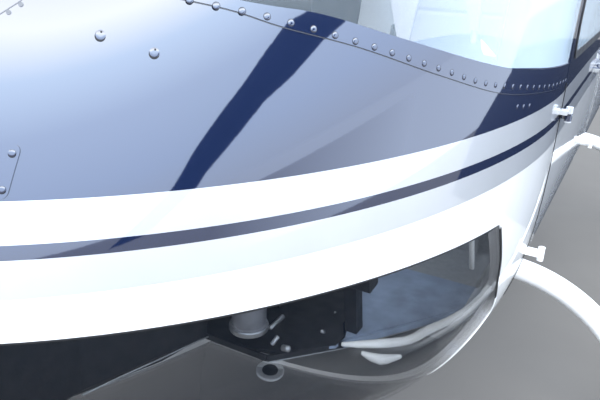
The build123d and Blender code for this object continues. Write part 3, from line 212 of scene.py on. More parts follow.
def spread(tree, value, low, high, start=0.3, end=0.7, **settings):
    """A value mapped to a range."""
    inputs = {"Value": value, "From Min": start, "From Max": end, "To Min": low, "To Max": high}
    return add_node(tree, "MapRange", inputs, **settings).outputs["Result"]


def mixed(tree, share, first, second, blend="MIX"):
    """Two colours mixed by a share."""
    inputs = {"Factor": share, "A": first, "B": second}
    return add_node(tree, "Mix", inputs, data_type="RGBA", blend_type=blend).outputs["Result"]


def stepped(tree, value, stops, interpolation="CONSTANT"):
    """A colour from a value. Each stop holds where a colour starts or, in a linear ramp, lies."""
    node = add_node(tree, "ValToRGB", {"Fac": value})
    ramp = node.color_ramp
    ramp.interpolation = interpolation
    ramp.elements.remove(ramp.elements[1])
    for number, (stop, colour) in enumerate(stops):
        element = ramp.elements.new(stop) if number else ramp.elements[0]
        element.position = stop
        element.color = (*colour, 1)
    return node.outputs["Color"]


def bump(tree, value, distance, strength=1.0):
    """Small relief from a value. Returns its normal output."""
    inputs = {"Strength": strength, "Distance": distance, "Height": value}
    return add_node(tree, "Bump", inputs).outputs["Normal"]


def surface_material(name, colour, roughness, metallic, scale, relief, vary):
    """A plain finish whose colour, gloss and relief vary a little over the surface."""
    material, tree, shader = new_material(name, colour, roughness, metallic)
    grain = noise(tree, scale, 4.0)
    dark, light = ((*[min(c * share, 1) for c in colour], 1) for share in (1 - vary, 1 + vary))
    feed(tree, shader, {
        "Base Color": mixed(tree, spread(tree, grain, 0, 1), dark, light),
        "Roughness": spread(tree, noise(tree, scale / 4, 2.0), roughness * 0.8, roughness * 1.25),
    })
    if relief:
        feed(tree, shader, {"Normal": bump(tree, grain, relief)})
    return material


NAVY = (0.0035, 0.0120, 0.050)
SILVER = (0.66, 0.68, 0.71)
WHITE = (0.90, 0.905, 0.905)
# Bands of the livery from the belly up, how metallic each is, and how far past the stripes they are mixed
BANDS = (WHITE, SILVER, NAVY, SILVER, NAVY)
BAND_SHINE = (0.0, 0.45, 0.25, 0.45, 0.25)
BAND_MARGIN = 0.05
COAT_IOR = 2.6
DUST = (0.93, 0.93, 0.92, 1)
CLEAN = (1, 1, 1, 1)


def livery():
    """Body paint: white below, silver, navy and silver stripes, and navy above, under a clear coat."""
    material, tree, shader = new_material("livery", WHITE, 0.35)
    back, height = coordinate(tree, "Y"), coordinate(tree, "Z")
    inputs = {0: back, 1: -STRIPE_CLIMB, 2: STRIPE_CLIMB * NOSE_Y}
    climb = add_node(tree, "Math", inputs, operation="MULTIPLY_ADD")
    sweep = spread(tree, back, 0, -SWEEP_RISE, along(SWEEP_START), along(SWEEP_END),
                   interpolation_type="SMOOTHSTEP")
    for rise in (climb.outputs["Value"], sweep):
        height = add_node(tree, "Math", {0: height, 1: rise}, operation="ADD").outputs["Value"]
    low, high = STRIPE_EDGES[0] - BAND_MARGIN, STRIPE_EDGES[-1] + BAND_MARGIN
    share = spread(tree, height, 0, 1, low, high)
    stops = [0, *[(edge - low) / (high - low) for edge in STRIPE_EDGES]]
    colour = stepped(tree, share, zip(stops, BANDS))
    dust = mixed(tree, spread(tree, noise(tree, 9.0, 6.0), 0, 1), DUST, CLEAN)
    feed(tree, shader, {
        "Base Color": mixed(tree, 1.0, colour, dust, "MULTIPLY"),
        "Metallic": stepped(tree, share, zip(stops, [(shine,) * 3 for shine in BAND_SHINE])),
        "Specular IOR Level": 0.2,
        "Coat Weight": 1.0,
        "Coat IOR": COAT_IOR,
        "Coat Roughness": 0.035,
        "Coat Normal": bump(tree, noise(tree, 220.0, 2.0), 0.0002, 0.02),
    })
    return material


def plain_paint(name, colour):
    """Glossy one-colour paint under a clear coat."""
    material = surface_material(name, colour, 0.4, 0.0, 12.0, 0.0, 0.04)
    shader = material.node_tree.nodes["Principled BSDF"]
    feed(material.node_tree, shader, {"Coat Weight": 0.8, "Coat IOR": 1.8, "Coat Roughness": 0.06})
    return material


MAST_PLACE = (0.0, 2.760 + NOSE_Y, 2.835)
TAIL_HUB_PLACE = (0.330, 8.675 + NOSE_Y, 1.930)
GREY = (0.30, 0.31, 0.32)
BLACK = (0.02, 0.02, 0.022)
YELLOW = (0.75, 0.50, 0.03)
RED = (0.50, 0.02, 0.02)
PALE = (0.78, 0.79, 0.79)
WORN = (0.82, 0.81, 0.79, 1)
# Blade colours: where each starts, as a share of the reach, which is six metres or one
MAIN_BLADE_BANDS = ((0.0, GREY), (0.115, BLACK), (0.155, GREY), (0.800, YELLOW), (0.832, GREY))
TAIL_BLADE_BANDS = ((0.0, GREY), (0.12, BLACK), (0.50, PALE), (0.60, RED), (0.70, PALE), (0.76, RED))


def blade_finish(name, plane, reach, hub, bands):
    """Blade paint in bands by distance from the hub. The plane is 1 on each axis that counts."""
    material, tree, shader = new_material(name, GREY, 0.45)
    place = add_node(tree, "TexCoord", {}).outputs["Object"]
    offset = add_node(tree, "VectorMath", {0: place, 1: hub}, operation="SUBTRACT").outputs["Vector"]
    flat = add_node(tree, "VectorMath", {0: offset, 1: plane}, operation="MULTIPLY").outputs["Vector"]
    length = add_node(tree, "VectorMath", {0: flat}, operation="LENGTH").outputs["Value"]
    colour = stepped(tree, spread(tree, length, 0, 1, 0, reach), bands)
    wear = mixed(tree, spread(tree, noise(tree, 6.0, 6.0, (4, 1, 1)), 0, 1), WORN, CLEAN)
    feed(tree, shader, {
        "Base Color": mixed(tree, 1.0, colour, wear, "MULTIPLY"),
        "Roughness": spread(tree, noise(tree, 14.0, 4.0), 0.35, 0.55),
    })
    return material


def glazing(name, tint, clear, glance, ior, start=0.3, end=0.9):
    """Tinted acrylic. Clear and glance are how much it covers seen face on and at a glance."""
    material, tree, shader = new_material(name, tint, 0.02)
    facing = add_node(tree, "LayerWeight", {"Blend": 0.5}).outputs["Facing"]
    feed(tree, shader, {
        "IOR": ior,
        "Alpha": spread(tree, facing, clear, glance, start, end),
        "Roughness": spread(tree, noise(tree, 4.0, 5.0), 0.01, 0.05),
    })
    return material


# Shapes

def add_object(name, data):
    """A new object in the scene."""
    made = bpy.data.objects.new(name, data)
    bpy.context.scene.collection.objects.link(made)
    return made


def make_piece(name, points, faces, finish, body="airframe", normals=None, crease=40):
    """A mesh piece that rides on a body. Normals, where given, hold one direction for each corner."""
    mesh = bpy.data.meshes.new(name)
    mesh.from_pydata([tuple(p) for p in points], [], faces)
    mesh.materials.append(FINISH[finish])
    mesh.polygons.foreach_set("use_smooth", [True] * len(mesh.polygons))
    if normals is None:
        mesh.set_sharp_from_angle(angle=math.radians(crease))
    else:
        mesh.normals_split_custom_set([tuple(n) for n in normals])
    mesh.update()
    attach(add_object(name, mesh), body)


def flips(both):
    """Factors that leave a shape as it is and, for both sides, that mirror it to starboard."""
    return [Vector((side, 1, 1)) for side in ((1, -1) if both else (1,))]


def face_normal(a, b, c):
    """The direction of a face with these first three corners."""
    return (b - a).cross(c - b).normalized()


def smooth_line(points, spacing):
    """A Catmull-Rom line through points of any dimension, sampled at about one spacing."""
    points = np.array(points, float)
    padded = np.vstack([2 * points[0] - points[1], points, 2 * points[-1] - points[-2]])
    line = []
    for before, start, end, after in zip(padded, padded[1:], padded[2:], padded[3:]):
        count = max(int(np.linalg.norm(end - start) / spacing), 1)
        for t in np.arange(count) / count:
            line.append(0.5 * (2 * start + (end - before) * t
                               + (2 * before - 5 * start + 4 * end - after) * t**2
                               + (3 * start - before - 3 * end + after) * t**3))
    line.append(points[-1])
    return np.array(line)


def inside_many(points, loop):
    """For each flat point, whether it lies inside a closed loop."""
    x, y = points[:, 0], points[:, 1]
    hit = np.zeros(len(points), bool)
    for (x1, y1), (x2, y2) in zip(loop, np.roll(loop, -1, axis=0)):
        if y1 == y2:
            continue
        crosses = ((y1 > y) != (y2 > y)) & (x < (x2 - x1) * (y - y1) / (y2 - y1) + x1)
        hit ^= crosses
    return hit


# How far a unit of turn and of height reach on the skin, about
SKIN_SCALE = np.array((1.2, 1.0))
# How near a sheet's inner points come to its edge, in spacings
EDGE_CLEARANCE = 0.45


def densify(loop, spacing):
    """A closed loop with its long sides divided."""
    dense = []
    for start, end in zip(loop, np.roll(loop, -1, axis=0)):
        reach = np.linalg.norm((end - start) * SKIN_SCALE)
        count = max(int(math.ceil(reach / spacing)), 1)
        dense += [start + (end - start) * i / count for i in range(count)]
    return np.array(dense)


def skin_sheet(name, loop, lift, finish, spacing, rim=0.0015, closed_middle=False):
    """A thin sheet that follows the cabin's skin inside a loop of turns and heights, on both sides.

    A sheet that reaches the middle of the nose has no rim there, so that both halves are one surface."""
    edge = densify(np.array(loop, float), spacing)
    low, high = edge.min(0), edge.max(0)
    columns = np.arange(low[0], high[0], spacing / SKIN_SCALE[0])
    grid = np.array([(a, b) for b in np.arange(low[1], high[1], spacing) for a in columns])
    grid = grid[inside_many(grid, edge)]
    near = np.array([np.min(np.sum(((edge - p) * SKIN_SCALE) ** 2, axis=1)) for p in grid])
    grid = grid[near > (spacing * EDGE_CLEARANCE) ** 2]
    flat = [Vector(p * SKIN_SCALE) for p in np.vstack([edge, grid])]
    ring = [(i, (i + 1) % len(edge)) for i in range(len(edge))]
    corners, _, faces, *_ = delaunay_2d_cdt(flat, ring, [], 1, 1e-6)
    corners = np.array([tuple(c) for c in corners]) / SKIN_SCALE
    outs = [skin_normal(t, z) for t, z in corners]
    tops = [skin_point(t, z) + out * lift for (t, z), out in zip(corners, outs)]
    bottoms = [p - out * rim for p, out in zip(tops, outs)]
    count = len(tops)
    uses = {pair for face in faces for pair in zip(face, face[1:] + face[:1])}
    border = [(a, b) for a, b in uses if (b, a) not in uses]
    if closed_middle:
        border = [(a, b) for a, b in border if corners[a][0] > 1e-4 or corners[b][0] > 1e-4]
    points, all_faces, normals = [], [], []
    for flip in flips(True):
        base = len(points)
        points += [p * flip for p in tops + bottoms]
        for face in faces:
            ordered = face if flip.x > 0 else face[::-1]
            all_faces.append([base + i for i in ordered])
            normals += [outs[i] * flip for i in ordered]
        for a, b in sorted(border):
            ring = [base + b, base + a, base + a + count, base + b + count]
            if flip.x < 0:
                ring = ring[::-1]
            all_faces.append(ring)
            normals += [face_normal(*(points[i] for i in ring[:3]))] * 4
    make_piece(name, points, all_faces, finish, normals=normals)


def skin_ribbon(name, first, second, lift, finish, rim=0.002, steps=3, sides=(1, -1), body="airframe"):
    """A raised ribbon on the skin between two lines of turns and heights with as many points each."""
    points, faces, normals = [], [], []
    width = steps + 3
    for side in sides:
        flip = Vector((side, 1, 1))
        base, ways = len(points), []
        for start, stop in zip(first, second):
            row = [start + (stop - start) * (k / steps) for k in range(steps + 1)]
            outs = [skin_normal(t, z) for t, z in row]
            tops = [skin_point(t, z) + out * lift for (t, z), out in zip(row, outs)]
            points += [p * flip for p in (tops[0] - outs[0] * rim, *tops, tops[-1] - outs[-1] * rim)]
            ways += [out * flip for out in (outs[0], *outs, outs[-1])]
        for i in range(len(first) - 1):
            for j in range(width - 1):
                a = base + i * width + j
                ring = [a, a + 1, a + width + 1, a + width]
                if side > 0:
                    ring = ring[::-1]
                if 0 < j < width - 2:
                    normals += [ways[k - base] for k in ring]
                else:
                    normals += [face_normal(*(points[k] for k in ring[:3]))] * 4
                faces.append(ring)
    make_piece(name, points, faces, finish, body, normals)


def band_on_skin(name, centre, width, lift, finish, rim=0.0012, sides=(1, -1), body="airframe"):
    """A ribbon of one width along a line of turns and heights."""
    centre = np.array(centre, float)
    ahead = np.gradient(centre, axis=0) * SKIN_SCALE
    across = np.stack((-ahead[:, 1], ahead[:, 0]), axis=1)
    across /= np.linalg.norm(across, axis=1)[:, None]
    across *= width / 2 / SKIN_SCALE
    skin_ribbon(name, centre - across, centre + across, lift, finish, rim, 1, sides, body)


def spaced(line, pitch, first):
    """Places along a line of turns and heights, one pitch apart on the skin."""
    spots = [skin_point(t, z) for t, z in line]
    steps = np.cumsum([0.0, *[(b - a).length for a, b in zip(spots, spots[1:])]])
    reach = np.arange(first, steps[-1] + 1e-9, pitch)
    line = np.array(line)
    return [(np.interp(r, steps, line[:, 0]), np.interp(r, steps, line[:, 1])) for r in reach]


def rounded_loop(corners, radii, steps=6):
    """A closed outline whose corners are rounded, as points in order."""
    loop = []
    corners = np.array(corners, float)
    for before, corner, after, radius in zip(np.roll(corners, 1, axis=0), corners,
                                             np.roll(corners, -1, axis=0), radii):
        back = (before - corner) / np.linalg.norm(before - corner)
        ahead = (after - corner) / np.linalg.norm(after - corner)
        half = math.acos(np.clip(back @ ahead, -1, 1)) / 2
        run = radius / math.tan(half)
        centre = corner + (back + ahead) / np.linalg.norm(back + ahead) * radius / math.sin(half)
        start, stop = corner + back * run - centre, corner + ahead * run - centre
        for k in range(steps + 1):
            mid = start * (1 - k / steps) + stop * (k / steps)
            loop.append(centre + mid / np.linalg.norm(mid) * radius)
    return np.array(loop)


def circle(centre, across, up, radius, slices):
    """Points round a centre, from across towards up."""
    angles = [2 * math.pi * k / slices for k in range(slices)]
    return [centre + (across * math.cos(a) + up * math.sin(a)) * radius for a in angles]


def ring_faces(base, rings, slices, kept, foot=True):
    """Faces between rings of points, over the last ring and, with a foot, under the first."""
    faces = [[base + (rings - 1) * slices + k for k in range(slices)]]
    if foot:
        faces.append([base + k for k in reversed(range(slices))])
    for ring in range(rings - 1):
        for k in range(slices):
            a, b = base + ring * slices + k, base + ring * slices + (k + 1) % slices
            faces.append([a, b, b + slices, a + slices])
    return faces if kept else [face[::-1] for face in faces]


# How far a bar's rounded end reaches past it and how wide it ends, as shares of its radius
TIP_REACH = 0.35
TIP_SIZE = 0.7


def tube(name, path, radii, finish, spacing=0.012, slices=14, both=False, straight=False):
    """A round bar along a line, with one radius or one for each point, and rounded ends."""
    path = np.array(path, float)
    radii = np.full(len(path), radii) if np.isscalar(radii) else np.array(radii)
    line = np.column_stack((path, radii))
    if not straight:
        line = smooth_line(line, spacing)
    spots = [Vector(p[:3]) for p in line]
    sizes = [p[3] for p in line]
    ahead = [(b - a).normalized() for a, b in zip(spots, spots[1:])]
    ahead = [ahead[0], *ahead, ahead[-1], ahead[-1]]
    foot = spots[0] - ahead[0] * sizes[0] * TIP_REACH
    tip = spots[-1] + ahead[-1] * sizes[-1] * TIP_REACH
    spots = [foot, *spots, tip]
    sizes = [sizes[0] * TIP_SIZE, *sizes, sizes[-1] * TIP_SIZE]
    across = ahead[0].orthogonal().normalized()
    points, faces = [], []
    for flip in flips(both):
        base, reach = len(points), across
        for spot, size, way in zip(spots, sizes, ahead):
            reach = (reach - way * reach.dot(way)).normalized()
            points += [p * flip for p in circle(spot, reach, way.cross(reach), size, slices)]
        faces += ring_faces(base, len(spots), slices, flip.x > 0)
    make_piece(name, points, faces, finish, crease=60)


def lathe(name, spots, profile, finish, slices, both=False, foot=True, crease=40):
    """Turned shapes, each at a centre with its outward and sideways directions.

    The profile holds radius and height pairs, from the foot to the top."""
    points, faces = [], []
    for flip in flips(both):
        for centre, out, across in spots:
            base = len(points)
            for radius, rise in profile:
                ring = circle(centre + out * rise, across, out.cross(across), radius, slices)
                points += [p * flip for p in ring]
            faces += ring_faces(base, len(profile), slices, flip.x > 0, foot)
    make_piece(name, points, faces, finish, crease=crease)


def turned(name, centre, axis, profile, finish, both=False):
    """One turned shape about an axis."""
    out = Vector(axis).normalized()
    lathe(name, [(Vector(centre), out, out.orthogonal().normalized())], profile, finish, 28, both, crease=30)


def marks(name, spots, profile, finish, slices=8):
    """Small turned shapes, such as rivet heads, at places given by a point and an outward direction."""
    spots = [(centre, out, out.orthogonal().normalized()) for centre, out in spots]
    lathe(name, spots, profile, finish, slices, foot=False)


def skin_marks(name, places, profile, lift, finish, slices=12):
    """Small turned shapes on both sides of the cabin's skin, at turns and heights."""
    spots = []
    for turn, height in places:
        out = skin_normal(turn, height)
        spots.append((on_skin(turn, height, lift), out, out.cross(Vector((0, 0, 1))).normalized()))
    lathe(name, spots, profile, finish, slices, both=True, foot=False)


def plate(name, outline, thickness, finish, both=False):
    """A flat plate: an outline of points in space, given a thickness along its normal."""
    outline = [Vector(p) for p in outline]
    centre = sum(outline, Vector()) / len(outline)
    after = outline[1:] + outline[:1]
    normal = sum(((a - centre).cross(b - centre) for a, b in zip(outline, after)), Vector()).normalized()
    points, faces = [], []
    for flip in flips(both):
        base = len(points)
        points += [p * flip for p in [p - normal * thickness for p in outline] + outline]
        faces += ring_faces(base, 2, len(outline), flip.x > 0)
    make_piece(name, points, faces, finish, crease=30)


# Lines on the nose: station and height
GLASS_EDGE = ((0.160, 1.303), (0.230, 1.279), (0.335, 1.247), (0.395, 1.236), (0.474, 1.212), (0.597, 1.180),
              (0.696, 1.163), (0.842, 1.152), (0.935, 1.148))
STRIP_SEAM = ((0.148, 1.290), (0.214, 1.269), (0.308, 1.245), (0.359, 1.226), (0.428, 1.205), (0.527, 1.171),
              (0.646, 1.139), (0.781, 1.123), (0.935, 1.111))
RIVET_LINE = ((0.153, 1.294), (0.220, 1.273), (0.312, 1.244), (0.361, 1.231), (0.439, 1.206), (0.530, 1.177),
              (0.603, 1.156), (0.696, 1.141), (0.823, 1.126), (0.935, 1.120))
CHIN_TOP = ((0.0, 0.9638), (0.300, 0.9564), (0.702, 0.9430))
CHIN_REAR = ((0.711, 0.935), (0.751, 0.866), (0.776, 0.814), (0.826, 0.745), (0.822, 0.715), (0.785, 0.670),
             (0.772, 0.630), (0.778, 0.600))
RIVET_PITCH = 0.0239
STRIP_LIFT = 0.0022
SKIN_LIFT = 0.0005

# Finishes: colour, roughness, metallic, grain scale, relief, and how much the colour varies
SURFACES = {
    "white_sealant": ((0.8, 0.82, 0.82), 0.5, 0.0, 80.0, 0.0002, 0.05),
    "white_duct": ((0.82, 0.84, 0.84), 0.35, 0.0, 30.0, 0.0004, 0.08),
    "canister_grey": ((0.16, 0.165, 0.18), 0.45, 0.2, 40.0, 0.0003, 0.15),
    "deck_blue": ((0.10, 0.13, 0.20), 0.7, 0.0, 90.0, 0.0004, 0.1),
    "ring_white": ((0.93, 0.95, 0.97), 0.4, 0.0, 60.0, 0.0002, 0.04),
    "floor_blue": ((0.30, 0.38, 0.52), 0.7, 0.0, 25.0, 0.0005, 0.18),
    "duct_cloth": ((0.34, 0.35, 0.38), 0.8, 0.0, 200.0, 0.0005, 0.12),
    "belt_webbing": ((0.36, 0.31, 0.27), 0.85, 0.0, 900.0, 0.0004, 0.15),
    "dial_black": ((0.02, 0.021, 0.023), 0.35, 0.0, 120.0, 0.0001, 0.15),
    "dial_white": ((0.80, 0.80, 0.76), 0.5, 0.0, 200.0, 0.0, 0.05),
    "screen_green": ((0.02, 0.10, 0.05), 0.15, 0.0, 60.0, 0.0, 0.2),
    "lamp_red": ((0.55, 0.01, 0.01), 0.08, 0.0, 40.0, 0.0, 0.08),
    "lamp_green": ((0.01, 0.30, 0.08), 0.08, 0.0, 40.0, 0.0, 0.08),
    "seat_piping": ((0.10, 0.11, 0.13), 0.6, 0.0, 300.0, 0.0003, 0.15),
    "black_rubber": ((0.012, 0.012, 0.013), 0.55, 0.0, 60.0, 0.0003, 0.12),
    "bare_alloy": ((0.42, 0.43, 0.44), 0.38, 0.9, 25.0, 0.0002, 0.15),
    "dark_steel": ((0.09, 0.09, 0.095), 0.4, 0.8, 40.0, 0.0002, 0.2),
    "hot_steel": ((0.16, 0.12, 0.10), 0.42, 0.85, 14.0, 0.0004, 0.35),
    "blade_paint": ((0.33, 0.34, 0.35), 0.5, 0.0, 10.0, 0.0002, 0.08),
    "cabin_grey": ((0.34, 0.36, 0.38), 0.6, 0.0, 90.0, 0.0004, 0.1),
    "panel_black": ((0.012, 0.013, 0.015), 0.62, 0.0, 120.0, 0.0004, 0.2),
    "seat_cloth": ((0.30, 0.31, 0.33), 0.85, 0.0, 420.0, 0.0006, 0.2),
}
# Glazing: tint, cover face on and at a glance, index of refraction, and where the cover starts and ends
PANES = {
    "clear_acrylic": ((0.66, 0.80, 0.90), 0.05, 0.60, 2.2, 0.2, 0.75),
    "chin_acrylic": ((0.004, 0.008, 0.016), 0.14, 0.50, 1.4),
    "tinted_acrylic": ((0.004, 0.02, 0.012), 0.55, 0.9, 1.6),
}
# Blades: plane of the disc, reach of the bands, hub and bands
BLADES = {
    "main_blade_paint": ((1, 1, 0), 6.0, MAST_PLACE, MAIN_BLADE_BANDS),
    "tail_blade_paint": ((0, 1, 1), 1.0, TAIL_HUB_PLACE, TAIL_BLADE_BANDS),
}
FINISH = {"livery": livery(), "white_paint": plain_paint("white_paint", (0.84, 0.85, 0.85))}
for maker, table in ((surface_material, SURFACES), (glazing, PANES), (blade_finish, BLADES)):
    FINISH |= {name: maker(name, *values) for name, values in table.items()}

# Finishes of the frame's slots, where they aren't called the same, and of single nodes
SLOT_FINISH = {
    "paint_navy": "livery", "paint_white": "livery", "glass": "clear_acrylic", "steel": "dark_steel",
    "tinted_glass": "tinted_acrylic", "exhaust_steel": "hot_steel", "bare_metal": "bare_alloy",
}
NODE_FINISH = {
    "chin_window_left": "chin_acrylic", "chin_window_right": "chin_acrylic",
    "front_crosstube": "white_paint", "rear_crosstube": "white_paint", "skid_left": "white_paint",
    "skid_right": "white_paint", "main_blades": "main_blade_paint", "tail_rotor": "tail_blade_paint",
}
for name, node in nodes.items():
    for holder in node.material_slots:
        slot = holder.material.name.split(".")[0]
        holder.material = FINISH[NODE_FINISH.get(name, SLOT_FINISH.get(slot, slot))]

# Nose skin over the solid nose, from the strip to the chin window and the door seam
nose_back = PANEL_SEAM_STATION - DOOR_GAP - 0.0005
chin_top = smooth_line(turns(CHIN_TOP), 0.01)
chin_rear = smooth_line(turns(CHIN_REAR), 0.01)
strip_foot = smooth_line([(turn, height + 0.006) for turn, height in turns(STRIP_SEAM)], 0.01)
strip_foot[0][0] = chin_top[0][0] = 0.0
skin_loop = [*chin_top, *chin_rear, *turns(((nose_back, 0.60), (nose_back, 1.117))), *strip_foot[::-1]]
skin_sheet("nose_skin", skin_loop, SKIN_LIFT, "livery", 0.010, closed_middle=True)

# Retainer strip along the windshield's foot, with its rivets
STRIP_ROWS = 90
first = smooth_line(turns(STRIP_SEAM), 0.002)
second = smooth_line(turns(GLASS_EDGE), 0.002)
first = first[np.linspace(0, len(first) - 1, STRIP_ROWS).astype(int)]
second = second[np.linspace(0, len(second) - 1, STRIP_ROWS).astype(int)]
first[0][0] = second[0][0] = 0.0
skin_ribbon("windshield_strip", first, second, STRIP_LIFT, "livery")
rivet_line = smooth_line(turns(RIVET_LINE), 0.004)
RIVET_HEAD = ((0.0032, -0.0006), (0.0032, 0.0002), (0.0027, 0.0005), (0.0015, 0.0007), (0.0005, 0.0007))
RIVET_SHADE_RING = ((0.0037, -0.0004), (0.0037, 0.00012), (0.0030, 0.00014))
rivet_places = spaced(rivet_line, RIVET_PITCH, 0.010)
skin_marks("strip_rivets", rivet_places, RIVET_HEAD, STRIP_LIFT, "livery")
# Black rings round the rivet heads: painted shade at the edge of each head
skin_marks("strip_rivet_shade_rings", rivet_places, RIVET_SHADE_RING, STRIP_LIFT, "black_rubber")
SIDE_RIVETS = ((0.700, 1.114), (0.721, 1.111), (0.743, 1.109))
skin_marks("side_rivets", turns(SIDE_RIVETS), RIVET_HEAD, 0.0006, "livery", 10)

# Seam under the strip and the painted bead along the glass
band_on_skin("strip_seam", first - (0, 0.0003), 0.0008, 0.0010, "canister_grey")
band_on_skin("glass_bead", second + (0, 0.0006), 0.0009, 0.0012, "livery")

# Black seal round the chin window, thin along its top
band_on_skin("chin_seal_top", chin_top[3:-1] - (0, 0.0010), 0.0020, 0.0010, "black_rubber")
rear_seal = chin_rear - (0.0012, 0)
upper = [spot for spot in rear_seal if spot[1] > 0.765]
lower = [spot for spot in rear_seal if spot[1] <= 0.775]
band_on_skin("chin_seal", upper, 0.0042, 0.0012, "black_rubber")
band_on_skin("chin_sealant", lower, 0.0060, 0.0014, "white_sealant")


def places_on_nose(spots):
    """Turns and heights of places on the nose given by X and height."""
    return [(math.asin(x / half_width(z)) * 2 / math.pi, z) for x, z in spots]


# Quarter-turn fasteners, the inspection plate and the nose cover's seam: X and height
FASTENER_SHADOW_DISC = ((0.0046, -0.0005), (0.0046, 0.0002), (0.0042, 0.0003), (0.0004, 0.0003))
FASTENER_HEAD = ((0.0044, -0.0005), (0.0043, 0.0004), (0.0034, 0.0007), (0.0018, 0.0008), (0.0004, 0.0008))
FASTENER_SHADED_SLOT = ((0.0009, 0.0), (0.0009, 0.0010), (0.0003, 0.0011))
FASTENERS = ((0.3525, 1.2174), (0.3892, 1.2037))
# A black disc set low under each head leaves a painted shadow crescent below it, and a black dot paints the
# shade in the slot
for part, drop, profile, paint in (("cups", 0.0011, FASTENER_SHADOW_DISC, "black_rubber"),
                                   ("heads", -0.0003, FASTENER_HEAD, "livery"),
                                   ("slots", -0.0025, FASTENER_SHADED_SLOT, "black_rubber")):
    spots = places_on_nose([(x, z - drop) for x, z in FASTENERS])
    skin_marks(f"fastener_{part}", spots, profile, SKIN_LIFT, paint, 20)
COVER_RIVETS = places_on_nose(((0.2873, 1.2334), (0.2939, 1.2399)))
skin_marks("cover_rivets", COVER_RIVETS, ((0.0022, -0.0005), (0.0022, 0.0004), (0.0004, 0.0006)), SKIN_LIFT,
           "canister_grey")

PLATE_CORNERS = places_on_nose(((0.3215, 1.1300), (0.319, 1.085), (0.238, 1.085), (0.262, 1.1300)))
plate_loop = rounded_loop(np.array(PLATE_CORNERS) * SKIN_SCALE, (0.007,) * 4)[::-1] / SKIN_SCALE
skin_sheet("inspection_plate", plate_loop, 0.0020, "livery", 0.006, 0.0020)
PLATE_SCREWS = places_on_nose(((0.3165, 1.1221), (0.3151, 1.0930), (0.262, 1.1221), (0.244, 1.0930)))
# Black discs under the plate's screws, whose heads sit higher: a painted shadow crescent below each head
skin_marks("inspection_plate_shadow_discs", PLATE_SCREWS, ((0.0035, 0.0), (0.0034, 0.0023), (0.0004, 0.0024)), 0.0,
           "black_rubber")
screw_tops = [(turn, height + 0.0006) for turn, height in PLATE_SCREWS]
skin_marks("inspection_plate_screws", screw_tops, RIVET_HEAD, 0.0028, "livery")

COVER_SEAM = ((0.304, 1.262), (0.2936, 1.243), (0.2806, 1.231), (0.205, 1.155), (0.16, 1.112), (0.11, 1.093),
              (0.0, 1.088))
cover_line = smooth_line(COVER_SEAM, 0.006)
band_on_skin("nose_cover_seam", cover_line, 0.0009, 0.0008, "canister_grey")

# Dark line of the crew door's seam, on the edge of the nose skin
door_seam = [(turn_at(PANEL_SEAM_STATION - 0.005, z), z) for z in np.linspace(0.70, 1.112, 28)]
band_on_skin("door_seam", door_seam, 0.0026, 0.0022, "black_rubber")

# Seen through the chin window: a black sheet of painted shade under the pedals, duct, canister, drain ring
# and small fittings
SHADE_SHEET_TOP = FLOOR_TOP + 0.008
SHADE_SHEET_EDGE = ((0.0, 0.642), (0.230, 0.642), (0.297, 0.655), (0.379, 0.733), (0.382, 0.765), (0.362, 0.802),
            (0.346, 0.88), (0.298, 0.949), (0.278, 1.019), (0.275, 1.10), (0.0, 1.10))
shade_sheet_outline = [*SHADE_SHEET_EDGE, *[(-x, s) for x, s in SHADE_SHEET_EDGE[-2:0:-1]]]
# A black sheet over the floor's front under the panel and pedals: painted shade
plate("pedal_shade_sheet", level(shade_sheet_outline, SHADE_SHEET_TOP), 0.007, "panel_black")

DUCT_PATH = ((0.398, 0.720, 0.644), (0.432, 0.735, 0.648), (0.466, 0.757, 0.650), (0.500, 0.786, 0.653),
             (0.530, 0.795, 0.680), (0.560, 0.800, 0.705), (0.589, 0.805, 0.735), (0.606, 0.800, 0.763),
             (0.622, 0.795, 0.792))
DUCT_RADII = (0.004, 0.007, 0.0085, 0.0085, 0.008, 0.007, 0.0065, 0.006, 0.006)
tube("floor_duct", placed(DUCT_PATH), DUCT_RADII, "white_duct", both=True)
DRIP_PATH = ((0.440, 0.712, 0.646), (0.470, 0.722, 0.638), (0.500, 0.745, 0.642))
tube("duct_drip", placed(DRIP_PATH), (0.004, 0.010, 0.004), "white_duct", both=True)

UPRIGHT = (0, 0, 1)
CANISTER = (0.243, along(0.652), 0.660)
CANISTER_BODY = ((0.030, 0.0), (0.034, 0.004), (0.034, 0.014), (0.031, 0.016), (0.031, 0.15), (0.026, 0.156))
CANISTER_RIM = ((0.0345, 0.001), (0.0358, 0.003), (0.0358, 0.010), (0.0345, 0.012))
turned("canister", CANISTER, UPRIGHT, CANISTER_BODY, "canister_grey", both=True)
turned("canister_rim", CANISTER, UPRIGHT, CANISTER_RIM, "bare_alloy", both=True)
DRAIN_PLACE = (0.205, along(0.796), 0.462)
DRAIN_AXIS = (0.1, -0.1, 1)
DRAIN_RING = ((0.030, 0.0), (0.030, 0.004), (0.0275, 0.0055), (0.018, 0.0055), (0.0165, 0.003))
DRAIN_HOLE = ((0.017, 0.0), (0.017, 0.0045), (0.001, 0.0048))
turned("drain_ring", DRAIN_PLACE, DRAIN_AXIS, DRAIN_RING, "ring_white", both=True)
turned("drain_hole", DRAIN_PLACE, DRAIN_AXIS, DRAIN_HOLE, "panel_black", both=True)
